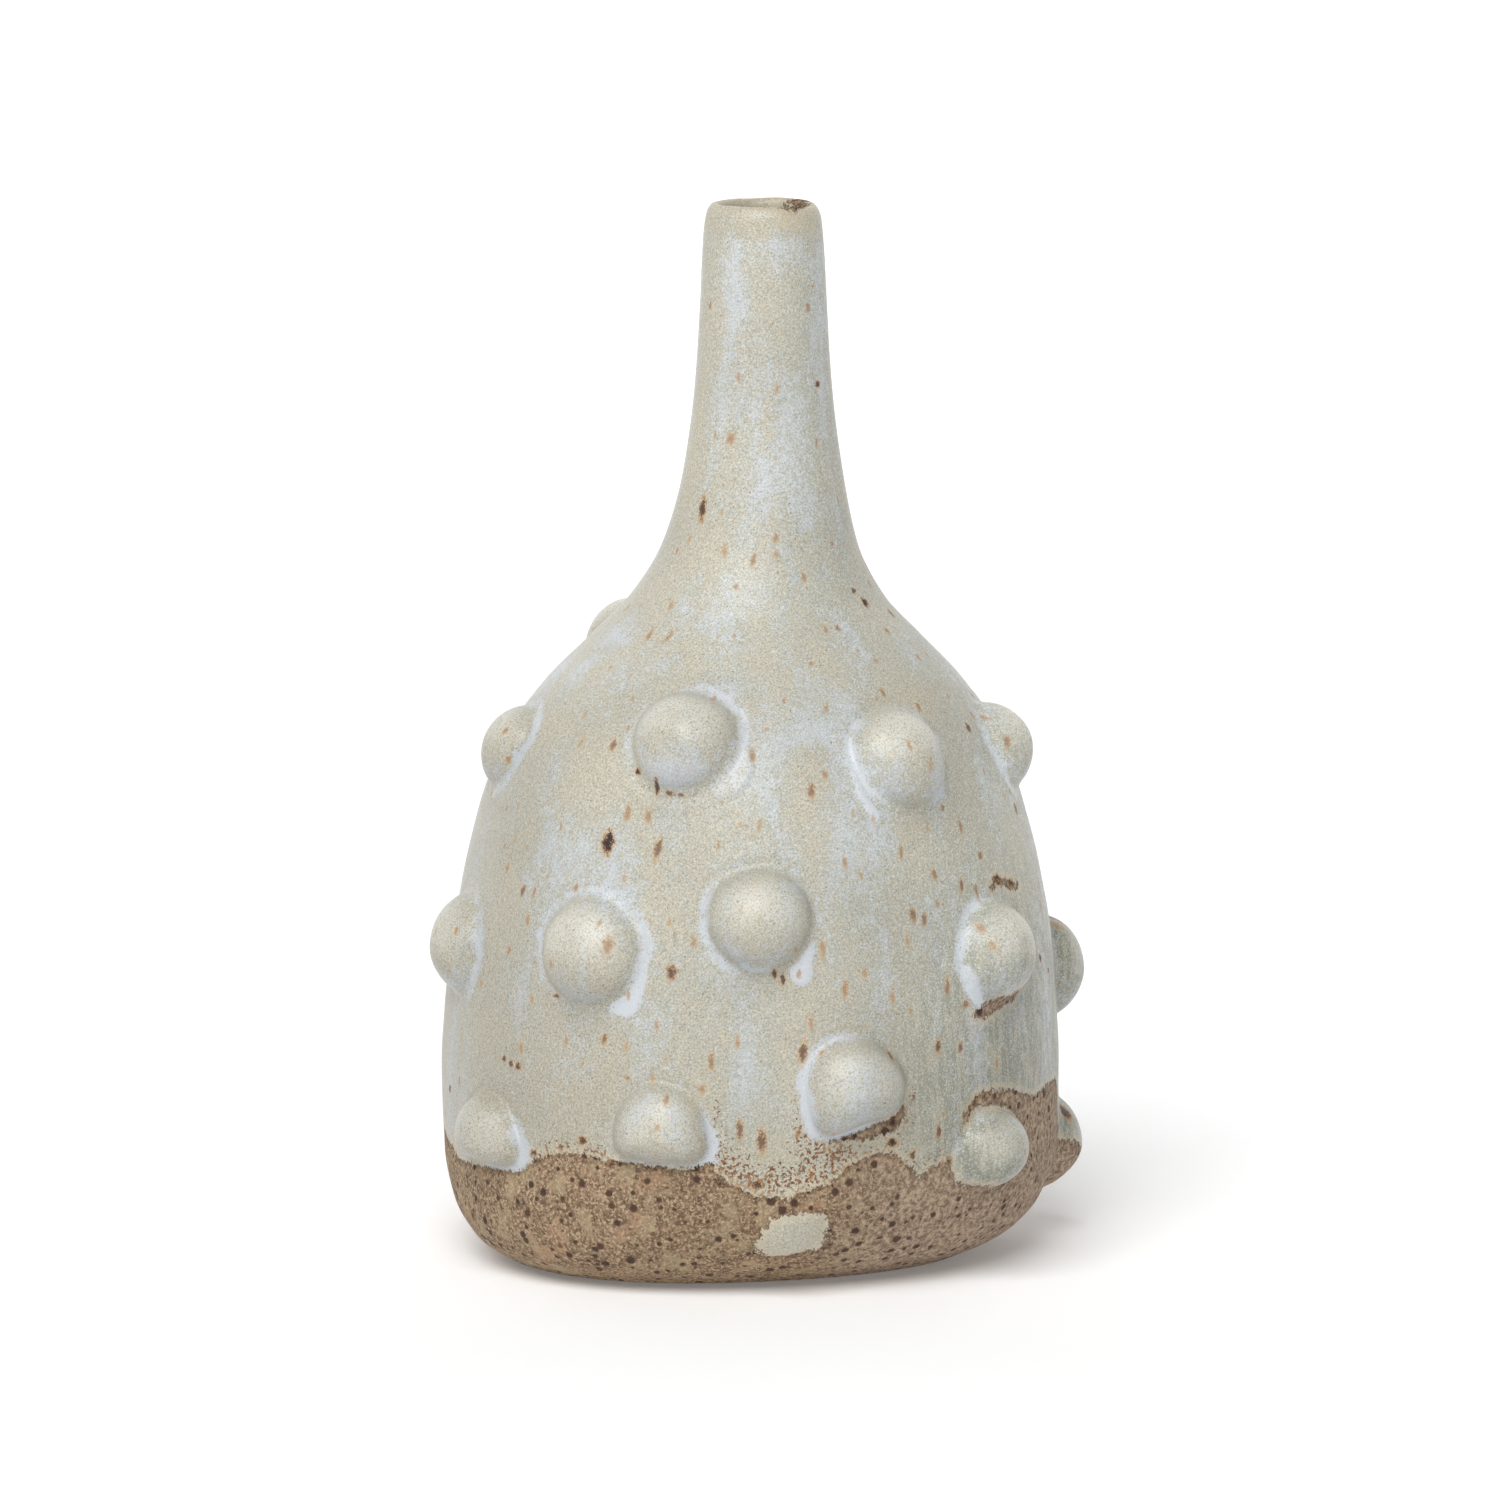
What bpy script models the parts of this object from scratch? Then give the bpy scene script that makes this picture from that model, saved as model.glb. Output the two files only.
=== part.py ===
"""Stoneware bottle vase with applied clay bobbles.

The pot is made the way a hand builder makes it before firing: a bevelled base
slab, a belly wall stood on the slab's bevel, a neck luted to the shoulder, and
clay bobbles pressed on to the wall one by one.  Every clay piece is one object.

Metres, +Z up.  The origin is the centre of the foot, on the surface the vase
stands on.  Azimuths are measured from the front (-Y) towards +X.
"""

from math import cos, exp, pi, radians, sin

import bmesh
import bpy
from mathutils import Matrix, Vector

# ---------------------------------------------------------------- dimensions
MM = 0.001
HEIGHT = 216.0          # foot to rim
WALL = 4.8              # belly wall thickness
NECK_WALL = 3.9         # neck wall thickness at the mouth
BORE_R = 8.4            # bore radius at the mouth
NECK_JOINT_Z = 138.0    # where the neck is luted to the shoulder
WALL_FOOT_Z = 0.8       # the wall's lower edge stays this far off the ground
SLAB_THICK = 6.5        # base slab
SLAB_R_BOTTOM = 43.0
SLAB_R_TOP = 41.0
JOINT_GAP = 0.3         # gap left at every luted joint
SEGMENTS = 48           # facets around the pot

# Outer profile of belly and neck: height, radius.
PROFILE = [
    (0.0, 44.8), (2.0, 50.8), (6.0, 57.2), (12.0, 61.5), (22.0, 63.8),
    (36.0, 63.8), (55.0, 62.9), (75.0, 60.0), (92.0, 55.8), (106.0, 50.6),
    (118.0, 42.6), (127.0, 33.9), (135.0, 26.2), (146.0, 20.0), (160.0, 16.5),
    (178.0, 14.1), (195.0, 13.0), (206.0, 12.5), (212.0, 12.0), (216.0, 10.6),
]
# Lean of the hand-built axis in X: height, offset.
AXIS_LEAN = [
    (0.0, -5.4), (10.0, -3.2), (25.0, -1.0), (60.0, 0.0),
    (100.0, 0.3), (130.0, 1.1), (160.0, 2.5), (216.0, 2.7),
]
# Out-of-round of the foot: two-lobed and three-lobed shares, and a shift in Y.
FOOT_LOBES = (-0.042, -0.013, 0.048, -0.056)
FOOT_SHIFT_Y = 1.8
FOOT_FADE = 22.0        # height over which the foot's shape fades into the round
FOOT_BACK_SHARE = 0.35  # how much of the lobes is left at the back of the foot

# Bobbles: azimuth (deg), height of centre, radius at the wall, height proud of it.
BOBBLES = {
    "bobble_upper_01": (-137.0, 122.3, 10.0, 8.0),
    "bobble_row1_01": (-76.0, 106.0, 9.2, 5.5),
    "bobble_row1_02": (-17.2, 111.5, 11.0, 7.2),
    "bobble_row1_03": (36.3, 107.4, 10.9, 7.0),
    "bobble_row1_04": (83.0, 105.3, 9.6, 6.6),
    "bobble_row1_05": (131.0, 103.5, 10.0, 7.8),
    "bobble_row1_06": (176.0, 106.0, 10.2, 8.0),
    "bobble_row1_07": (-131.0, 93.5, 10.0, 7.8),
    "bobble_row2_01": (-72.5, 66.1, 10.8, 6.7),
    "bobble_row2_02": (-31.7, 70.1, 11.2, 7.2),
    "bobble_row2_03": (1.5, 77.7, 10.4, 7.8),
    "bobble_row2_04": (53.4, 67.3, 10.4, 8.0),
    "bobble_row2_05": (103.6, 55.8, 10.7, 8.4),
    "bobble_row2_06": (148.0, 69.0, 10.5, 8.2),
    "bobble_row2_07": (-169.0, 63.0, 10.6, 8.4),
    "bobble_row2_08": (-126.0, 57.0, 10.4, 8.2),
    "bobble_row3_01": (-54.0, 29.4, 10.2, 7.3),
    "bobble_row3_02": (-16.0, 35.4, 10.2, 7.0),
    "bobble_row3_03": (19.5, 43.6, 10.9, 7.8),
    "bobble_row3_04": (50.0, 27.4, 9.8, 7.6),
    "bobble_row3_05": (97.3, 19.1, 10.2, 7.6),
    "bobble_row3_06": (136.0, 31.0, 10.4, 7.2),
    "bobble_row3_07": (178.0, 28.0, 10.0, 7.2),
    "bobble_row3_08": (-149.0, 22.0, 10.2, 7.2),
    "bobble_row3_09": (-119.0, 27.0, 10.2, 6.8),
    "bobble_foot_01": (9.0, 15.0, 7.4, 2.2),
}
BOBBLE_SEGMENTS = 18
BOBBLE_RINGS = 11

# ---------------------------------------------------------------- materials
GLAZE = ("glaze", (0.60, 0.59, 0.52, 1.0), 0.38)
BARE_CLAY = ("bare_clay", (0.36, 0.25, 0.17, 1.0), 0.85)


def material(spec):
    name, colour, roughness = spec
    mat = bpy.data.materials.get(name) or bpy.data.materials.new(name)
    mat.use_nodes = True
    bsdf = mat.node_tree.nodes["Principled BSDF"]
    bsdf.inputs["Base Color"].default_value = colour
    bsdf.inputs["Roughness"].default_value = roughness
    bsdf.inputs["Metallic"].default_value = 0.0
    mat.diffuse_color = colour
    return mat


# ---------------------------------------------------------------- the form
def smooth_through(stations, x):
    """Monotone cubic through (x, y) stations."""
    xs = [s[0] for s in stations]
    ys = [s[1] for s in stations]
    x = min(max(x, xs[0]), xs[-1])
    n = len(xs)
    h = [xs[i + 1] - xs[i] for i in range(n - 1)]
    d = [(ys[i + 1] - ys[i]) / h[i] for i in range(n - 1)]
    m = [0.0] * n
    for i in range(1, n - 1):
        if d[i - 1] * d[i] > 0:
            w1, w2 = 2 * h[i] + h[i - 1], h[i] + 2 * h[i - 1]
            m[i] = (w1 + w2) / (w1 / d[i - 1] + w2 / d[i])
    m[0], m[-1] = d[0], d[-1]
    i = 0
    while i < n - 2 and x > xs[i + 1]:
        i += 1
    t = (x - xs[i]) / h[i]
    return (
        (2 * t**3 - 3 * t**2 + 1) * ys[i]
        + (t**3 - 2 * t**2 + t) * h[i] * m[i]
        + (-2 * t**3 + 3 * t**2) * ys[i + 1]
        + (t**3 - t**2) * h[i] * m[i + 1]
    )


def outer_radius(z):
    return smooth_through(PROFILE, z)


def profile_normal(z):
    """Outward normal (radial, vertical) of the outer profile at a height."""
    e = 0.2
    lo, hi = max(z - e, 0.0), min(z + e, HEIGHT)
    dr, dz = outer_radius(hi) - outer_radius(lo), hi - lo
    n = Vector((dz, -dr))
    return n.normalized()


def hand_formed(r, angle, z):
    """Where a point of the turned form goes once the form is leaned and lobed. Millimetres; angle from +X."""
    g = exp(-((z / FOOT_FADE) ** 2))
    t = min(max((0.85 - sin(angle)) / 0.75, 0.0), 1.0)
    share = FOOT_BACK_SHARE + (1 - FOOT_BACK_SHARE) * t * t * (3 - 2 * t)
    a, b, c, d = FOOT_LOBES
    lobes = 1 + g * share * (a * cos(2 * angle) + b * sin(2 * angle) + c * cos(3 * angle) + d * sin(3 * angle))
    return Vector((
        smooth_through(AXIS_LEAN, z) + r * lobes * cos(angle),
        r * lobes * sin(angle) + g * FOOT_SHIFT_Y,
        z,
    ))


def wall_point(azimuth, z):
    """A point of the outer wall, in millimetres, at an azimuth from the front."""
    return hand_formed(outer_radius(z), radians(azimuth) - pi / 2, z)


def wall_normal(azimuth, z):
    along = wall_point(azimuth + 0.5, z) - wall_point(azimuth - 0.5, z)
    up = wall_point(azimuth, z + 0.3) - wall_point(azimuth, z - 0.3)
    return along.cross(up).normalized()


# ---------------------------------------------------------------- making pieces
def clear_scene():
    for obj in list(bpy.data.objects):
        bpy.data.objects.remove(obj)


def collection(name):
    col = bpy.data.collections.new(name)
    bpy.context.scene.collection.children.link(col)
    return col


def turned(name, outline, col, closed):
    """Turns an outline of (radius, height) in millimetres round +Z, then leans and lobes it."""
    mesh = bpy.data.meshes.new(name + "_profile")
    edges = [(i, i + 1) for i in range(len(outline) - 1)]
    if closed:
        edges.append((len(outline) - 1, 0))
    mesh.from_pydata([(r * MM, 0.0, z * MM) for r, z in outline], edges, [])
    spun = bpy.data.objects.new(name + "_profile", mesh)
    bpy.context.scene.collection.objects.link(spun)
    screw = spun.modifiers.new("turn", "SCREW")
    screw.angle = 2 * pi
    screw.steps = SEGMENTS
    screw.render_steps = SEGMENTS
    screw.axis = "Z"
    screw.use_merge_vertices = True
    screw.merge_threshold = 0.00001
    bpy.context.view_layer.update()
    graph = bpy.context.evaluated_depsgraph_get()
    done = bpy.data.meshes.new_from_object(spun.evaluated_get(graph))
    bpy.data.objects.remove(spun)
    for v in done.vertices:
        r = (v.co.x**2 + v.co.y**2) ** 0.5 / MM
        angle = Vector((1, 0)).angle_signed(Vector((v.co.x, v.co.y)), 0.0) if r > 1e-6 else 0.0
        v.co = hand_formed(r, -angle, v.co.z / MM) * MM
    bm = bmesh.new()
    bm.from_mesh(done)
    bmesh.ops.remove_doubles(bm, verts=bm.verts, dist=1e-6)
    bmesh.ops.recalc_face_normals(bm, faces=bm.faces)
    bm.to_mesh(done)
    bm.free()
    done.name = name
    obj = bpy.data.objects.new(name, done)
    col.objects.link(obj)
    done.shade_smooth()
    done.set_sharp_from_angle(angle=radians(50))
    return obj


def outer_run(z_low, z_high, grow=0.0):
    """Points down the outer profile, top to bottom, closer together where it bends."""
    heights = [z for z, _ in PROFILE if z_low < z < z_high]
    heights = [z_high] + sorted(heights, reverse=True) + [z_low]
    run = []
    for z in heights:
        n = profile_normal(z)
        run.append((outer_radius(z) + grow * n.x, z + grow * n.y))
    return run


def inner_point(z, thickness):
    n = profile_normal(z)
    return (outer_radius(z) - thickness * n.x, z - thickness * n.y)


def build():
    clear_scene()
    pot = collection("stoneware_bobble_vase")
    cutters = collection("cutters")
    glaze, clay = material(GLAZE), material(BARE_CLAY)

    # Base slab: a bevelled disc, narrower on top, that the wall is luted round.
    slab = turned(
        "base_slab",
        [
            (0.0, SLAB_THICK),
            (SLAB_R_TOP, SLAB_THICK),
            (SLAB_R_BOTTOM - 0.4, 0.6),
            (SLAB_R_BOTTOM - 1.0, 0.0),
            (0.0, 0.0),
        ],
        pot,
        closed=False,
    )
    slab.data.materials.append(clay)

    # Belly wall: outer face down, round the foot, up the slab's bevel, and up the inside.
    outside = outer_run(1.9, NECK_JOINT_Z - JOINT_GAP / 2)
    foot = [(SLAB_R_BOTTOM + 3.6, WALL_FOOT_Z), (SLAB_R_BOTTOM + JOINT_GAP, WALL_FOOT_Z)]
    seat = [(SLAB_R_TOP + JOINT_GAP, SLAB_THICK)]
    inside = [(49.5, 7.4), (54.0, 10.5)]
    inside += [inner_point(z, WALL) for z in (20.0, 36.0, 55.0, 75.0, 92.0, 106.0, 118.0, 127.0)]
    inside += [inner_point(NECK_JOINT_Z - JOINT_GAP / 2, WALL - 0.3)]
    wall = turned("belly_wall", outside + foot + seat + inside, pot, closed=True)
    wall.data.materials.append(glaze)
    wall.data.materials.append(clay)

    # Neck: outer face down from the rolled rim to the shoulder joint, then up the bore.
    lip = [(9.5, 216.0), (10.7, 215.6), (11.6, 214.3)]
    outside = lip + outer_run(NECK_JOINT_Z + JOINT_GAP / 2, 212.0)
    inside = [inner_point(NECK_JOINT_Z + JOINT_GAP / 2, WALL - 0.3), inner_point(146.0, WALL - 0.5), inner_point(160.0, 4.3)]
    inside += [inner_point(178.0, 4.1), (BORE_R + 0.4, 195.0), (BORE_R, 206.0), (BORE_R - 0.1, 212.0), (BORE_R + 0.1, 214.6), (BORE_R + 0.5, 215.6)]
    neck = turned("neck", outside + inside, pot, closed=True)
    neck.data.materials.append(glaze)

    # The pot's outer form grown by the joint gap trims each bobble's seat.
    seat_form = turned(
        "seat_form",
        [(0.0, 150.0)] + outer_run(0.0, 150.0, grow=JOINT_GAP) + [(0.0, 0.0)],
        cutters,
        closed=False,
    )
    seat_form.hide_render = True
    seat_form.display_type = "WIRE"

    for name, (azimuth, z, radius, proud) in BOBBLES.items():
        ball_r = (radius**2 + proud**2) / (2 * proud)
        n = wall_normal(azimuth, z)
        centre = wall_point(azimuth, z) + n * (proud - ball_r)
        bm = bmesh.new()
        bmesh.ops.create_uvsphere(bm, u_segments=BOBBLE_SEGMENTS, v_segments=BOBBLE_RINGS, radius=ball_r * MM)
        if ball_r > 1.15 * radius:
            # A low bobble is the cap of a big ball, so only the cap's share of the ball is kept.
            geom = bm.verts[:] + bm.edges[:] + bm.faces[:]
            cut = bmesh.ops.bisect_plane(
                bm, geom=geom, plane_co=(0, 0, (ball_r - proud - 3.0) * MM), plane_no=(0, 0, 1), clear_inner=True
            )
            rim = [e for e in cut["geom_cut"] if isinstance(e, bmesh.types.BMEdge)]
            bmesh.ops.edgeloop_fill(bm, edges=rim)
            bmesh.ops.recalc_face_normals(bm, faces=bm.faces)
        mesh = bpy.data.meshes.new(name)
        bm.to_mesh(mesh)
        bm.free()
        mesh.shade_smooth()
        mesh.set_sharp_from_angle(angle=radians(50))
        mesh.materials.append(clay if name.startswith("bobble_foot") else glaze)
        obj = bpy.data.objects.new(name, mesh)
        pot.objects.link(obj)
        turn = n.to_track_quat("Z", "Y").to_matrix().to_4x4()
        obj.matrix_world = Matrix.Translation(centre * MM) @ turn
        trim = obj.modifiers.new("seat", "BOOLEAN")
        trim.operation = "DIFFERENCE"
        trim.solver = "EXACT"
        trim.object = seat_form


build()
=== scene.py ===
"""Looks of the stoneware bobble vase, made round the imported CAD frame.

Every visible clay piece is remade as a fine mesh on the same form as the CAD:
belly wall, neck, base slab and each bobble.  The glaze is computed per vertex
(how deep it pools, how far a point is from its lower edge, where the iron
spots sit) and finished by one procedural material that all pieces share.

Lengths inside the form are millimetres; meshes are written in metres.
Azimuths run from the front (-Y) towards +X.
"""

import math

import bpy
import numpy as np
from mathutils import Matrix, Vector


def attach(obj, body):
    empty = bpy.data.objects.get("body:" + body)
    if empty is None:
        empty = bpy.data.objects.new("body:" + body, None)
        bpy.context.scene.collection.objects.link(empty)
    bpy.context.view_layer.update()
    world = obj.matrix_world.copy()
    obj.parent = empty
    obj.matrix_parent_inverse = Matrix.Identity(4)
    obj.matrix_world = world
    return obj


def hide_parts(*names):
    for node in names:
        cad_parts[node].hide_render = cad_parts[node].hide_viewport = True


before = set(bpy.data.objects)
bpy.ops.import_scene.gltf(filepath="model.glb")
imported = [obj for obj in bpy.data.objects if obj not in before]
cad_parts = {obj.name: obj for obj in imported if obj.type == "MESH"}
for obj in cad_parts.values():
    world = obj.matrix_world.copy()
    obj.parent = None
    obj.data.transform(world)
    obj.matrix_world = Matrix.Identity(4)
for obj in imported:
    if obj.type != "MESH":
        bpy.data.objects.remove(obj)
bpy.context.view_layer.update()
MM = 0.001

# ------------------------------------------------------------------ the form
PROFILE = [
    (0.0, 44.8), (2.0, 50.8), (6.0, 57.2), (12.0, 61.5), (22.0, 63.8),
    (36.0, 63.8), (55.0, 62.9), (75.0, 60.0), (92.0, 55.8), (106.0, 50.6),
    (118.0, 42.6), (127.0, 33.9), (135.0, 26.2), (146.0, 20.0), (160.0, 16.5),
    (178.0, 14.1), (195.0, 13.0), (206.0, 12.5), (212.0, 12.0), (216.0, 10.6),
]
AXIS_LEAN = [
    (0.0, -5.4), (10.0, -3.2), (25.0, -1.0), (60.0, 0.0),
    (100.0, 0.3), (130.0, 1.1), (160.0, 2.5), (216.0, 2.7),
]
FOOT_LOBES = (-0.042, -0.013, 0.048, -0.056)
FOOT_SHIFT_Y = 1.8
FOOT_FADE = 22.0
FOOT_BACK_SHARE = 0.35
JOINT_Z = 138.0

# azimuth, height, radius at the wall, height proud of it (as in the CAD)
BOBBLES = {
    "bobble_upper_01": (-137.0, 122.3, 10.0, 8.0),
    "bobble_row1_01": (-76.0, 106.0, 9.2, 5.5),
    "bobble_row1_02": (-17.2, 111.5, 11.0, 7.2),
    "bobble_row1_03": (36.3, 107.4, 10.9, 7.0),
    "bobble_row1_04": (83.0, 105.3, 9.6, 6.6),
    "bobble_row1_05": (131.0, 103.5, 10.0, 7.8),
    "bobble_row1_06": (176.0, 106.0, 10.2, 8.0),
    "bobble_row1_07": (-131.0, 93.5, 10.0, 7.8),
    "bobble_row2_01": (-72.5, 66.1, 10.8, 6.7),
    "bobble_row2_02": (-31.7, 70.1, 11.2, 7.2),
    "bobble_row2_03": (1.5, 77.7, 10.4, 7.8),
    "bobble_row2_04": (53.4, 67.3, 10.4, 8.0),
    "bobble_row2_05": (103.6, 55.8, 10.7, 8.4),
    "bobble_row2_06": (148.0, 69.0, 10.5, 8.2),
    "bobble_row2_07": (-169.0, 63.0, 10.6, 8.4),
    "bobble_row2_08": (-126.0, 57.0, 10.4, 8.2),
    "bobble_row3_01": (-54.0, 29.4, 10.2, 7.3),
    "bobble_row3_02": (-16.0, 35.4, 10.2, 7.0),
    "bobble_row3_03": (19.5, 43.6, 10.9, 7.8),
    "bobble_row3_04": (50.0, 27.4, 9.8, 7.6),
    "bobble_row3_05": (97.3, 19.1, 10.2, 7.6),
    "bobble_row3_06": (136.0, 31.0, 10.4, 7.2),
    "bobble_row3_07": (178.0, 28.0, 10.0, 7.2),
    "bobble_row3_08": (-149.0, 22.0, 10.2, 7.2),
    "bobble_row3_09": (-119.0, 27.0, 10.2, 6.8),
    "bobble_foot_01": (9.0, 15.0, 7.4, 2.2),
}

# How the glaze gathers round each bobble.  Angles are in the wall's plane
# round the bobble: 0 is towards +azimuth, 90 is up.
#   ring     (angle, spread, strength): white glaze gathered in the fillet
#   runs     strokes of (across, up, half width) where gathered glaze ran down
#   lower    how bluish the lower half of the dome is
#   outline  (angle, distance): where the dome meets the wall, if it isn't round
#   fillet   radius that blends the dome into the wall
# pale     white glaze over the dome's crown, partly a painted highlight
GATHER = {
    "bobble_upper_01": dict(ring=[(0, 60, 0.7)], lower=0.3),
    "bobble_row1_01": dict(ring=[(10, 80, 0.95), (-60, 45, 0.7)], lower=0.45, fillet=3.4),
    "bobble_row1_02": dict(
        ring=[(55, 50, 0.85), (0, 45, 0.85), (180, 45, 0.5)], lower=0.9, fillet=3.2,
        runs=[([(11.8, -1.0, 2.0), (12.4, -5.4, 3.0), (11.6, -8.4, 3.0), (9.6, -10.4, 1.9)], 0.48)],
    ),
    "bobble_row1_03": dict(
        ring=[(190, 50, 0.95), (20, 60, 0.75), (-35, 30, 0.8)], lower=0.3, fillet=1.7,
        runs=[([(-11.5, -2.5, 1.0), (-11.0, -6.5, 1.1), (-10.1, -9.3, 1.25), (-8.7, -11.2, 1.3)], 1.0)],
    ),
    "bobble_row1_04": dict(ring=[(195, 60, 0.85), (110, 40, 0.3)], lower=0.25, fillet=3.0),
    "bobble_row1_05": dict(ring=[(200, 60, 0.9), (-20, 45, 0.6)], lower=0.5,
                           runs=[([(9.6, -5.6, 1.1), (8.2, -9.2, 1.6), (7.0, -11.6, 1.8)], 0.9)]),
    "bobble_row1_06": dict(ring=[(20, 70, 0.9), (150, 40, 0.5)], lower=0.6),
    "bobble_row1_07": dict(ring=[(180, 60, 0.8), (-30, 50, 0.8)], lower=0.4,
                           runs=[([(-9.6, -5.6, 1.1), (-7.9, -9.2, 1.5), (-6.8, -11.4, 1.6)], 0.9)]),
    "bobble_row2_01": dict(ring=[(-5, 60, 0.95), (60, 40, 0.5)], lower=0.25,
                           runs=[([(10.8, -4.4, 1.0), (9.4, -8.2, 1.3), (8.6, -10.0, 1.2)], 0.6)]),
    "bobble_row2_02": dict(
        ring=[(5, 55, 1.0), (85, 70, 0.62), (185, 60, 0.72)], lower=0.25, fillet=3.2,
        runs=[([(12.1, -2.4, 1.0), (11.7, -6.0, 1.25), (10.4, -9.0, 1.9), (9.2, -10.6, 2.2), (6.6, -10.9, 1.3)], 1.25)],
    ),
    "bobble_row2_03": dict(
        ring=[(180, 50, 0.85), (10, 40, 0.45), (225, 28, 0.75)], pale=0.3, lower=0.35, fillet=2.4,
        runs=[
            ([(10.6, -5.2, 0.7), (9.2, -8.4, 1.5), (8.4, -10.6, 2.5), (8.5, -11.2, 2.2)], 1.1),
            ([(-3.5, -9.0, 0.6), (-0.9, -10.0, 0.8), (2.0, -9.9, 0.7)], 0.9),
        ],
    ),
    "bobble_row2_04": dict(
        ring=[(180, 55, 1.0), (120, 30, 0.9), (-5, 30, 0.3)], lower=0.3, fillet=2.4,
        runs=[([(-10.5, -2.5, 1.1), (-9.3, -6.2, 1.35), (-7.6, -8.8, 1.4), (-6.3, -10.0, 1.2)], 1.0)],
    ),
    "bobble_row2_05": dict(ring=[(170, 45, 0.5)], lower=0.2),
    "bobble_row2_06": dict(ring=[(190, 70, 0.9), (20, 60, 0.7)], lower=0.4,
                           runs=[([(-10.4, -4.6, 1.2), (-9.0, -8.8, 1.7), (-7.8, -11.4, 2.0)], 1.1)]),
    "bobble_row2_07": dict(ring=[(0, 70, 1.0), (120, 50, 0.5)], lower=0.4,
                           runs=[([(10.8, -4.6, 1.2), (9.4, -8.8, 1.8), (8.2, -11.6, 2.2)], 1.1)]),
    "bobble_row2_08": dict(ring=[(180, 60, 0.8), (-10, 50, 0.8)], lower=0.3),
    "bobble_row3_01": dict(
        ring=[(-5, 45, 1.1), (-70, 45, 0.9), (180, 50, 0.5)], pale=0.35, lower=0.7, fillet=1.5,
        outline=[(-112, 6.4), (-90, 5.8), (-68, 6.2), (-48, 7.8), (-36, 9.5), (-25, 11.6), (-14, 12.6), (-5, 12.4),
                 (7, 11.3), (20, 10.3), (35, 9.8), (60, 9.7), (85, 10.0), (115, 10.6), (150, 10.8), (180, 10.6), (210, 9.4), (230, 7.8)],
    ),
    "bobble_row3_02": dict(
        ring=[(-12, 40, 1.0), (-90, 60, 0.55), (180, 40, 0.3), (-30, 14, 1.1)], pale=0.6, lower=0.75, fillet=1.6,
        outline=[(-176, 11.1), (-156, 11.6), (-146, 11.4), (-135, 9.7), (-119, 7.9), (-88, 7.3), (-60, 8.5), (-42, 10.9),
                 (-30, 12.2), (-17, 12.0), (-3, 11.1), (13, 10.5), (32, 10.4), (49, 10.5), (69, 10.4), (92, 10.3), (114, 10.5),
                 (140, 10.5), (164, 10.7)],
    ),
    "bobble_row3_03": dict(
        ring=[(190, 60, 1.15), (120, 40, 0.7), (-95, 45, 1.1)], pale=0.6, lower=0.8, fillet=1.7,
        outline=[(-1, 11.8), (-16, 11.7), (-27, 11.3), (-39, 10.2), (-54, 8.9), (-76, 8.4), (-97, 9.2), (-110, 10.5),
                 (-120, 11.9), (-129, 12.6), (-140, 12.6), (-153, 12.1), (-171, 11.6), (-191, 11.8), (-205, 12.2), (-225, 12.3),
                 (-251, 11.9), (-268, 11.6), (-284, 11.4), (-303, 11.1), (-323, 11.2), (-343, 11.5)],
    ),
    "bobble_row3_04": dict(
        ring=[], lower=0.0, fillet=1.8,
        outline=[(-90, 8.6), (-60, 9.4), (-30, 10.6), (0, 10.9), (40, 10.6), (70, 10.0), (100, 9.8), (130, 9.9), (160, 10.6),
                 (185, 11.0), (205, 10.8), (225, 10.0), (250, 9.0)],
    ),
    "bobble_row3_05": dict(ring=[], lower=0.0, fillet=4.5),
    "bobble_row3_06": dict(ring=[(190, 60, 1.0), (-20, 40, 0.5)], lower=0.6,
                           runs=[([(-9.8, -3.6, 1.1), (-8.4, -7.2, 1.7), (-7.2, -8.8, 1.7)], 1.0)]),
    "bobble_row3_07": dict(ring=[(0, 60, 0.9), (180, 50, 0.6)], lower=0.5),
    "bobble_row3_08": dict(ring=[(90, 60, 0.3)], lower=0.1),
    "bobble_row3_09": dict(ring=[(180, 55, 0.8), (-20, 50, 0.8)], lower=0.5),
    "bobble_foot_01": dict(ring=[], lower=0.0),
}

# Glaze that stands as an island on the right-hand low bobble: (across, up) from its centre.
LOW_PATCH = [
    (-7.9, 6.6), (-6.4, 7.8), (-5.4, 9.0), (-3.4, 9.6), (-1.0, 9.2), (1.2, 9.5), (3.4, 8.6), (6.4, 7.6), (9.4, 5.2),
    (10.3, 0.0), (9.8, -5.0), (7.4, -7.4), (3.4, -7.6), (0.9, -8.2), (-1.6, -7.0), (-3.8, -6.2), (-6.2, -6.2), (-9.6, -5.6),
    (-10.8, -2.8), (-11.4, -0.8), (-12.6, 1.6), (-12.2, 6.4), (-9.4, 7.0),
]
# Bare strokes where the glaze crept back from a bobble: (across, up, half width).
BARE_STROKES = {
    "bobble_row2_04": [
        [(-7.4, -12.0, 1.0), (-4.6, -11.3, 1.4), (-1.6, -10.3, 1.4), (1.6, -9.7, 1.5), (5.2, -9.0, 1.4), (8.4, -7.4, 1.0)],
        [(2.6, 13.0, 0.9), (4.2, 14.2, 0.6), (6.9, 13.2, 1.0), (9.4, 12.2, 0.9), (12.0, 12.0, 0.7)],
    ],
}

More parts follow.
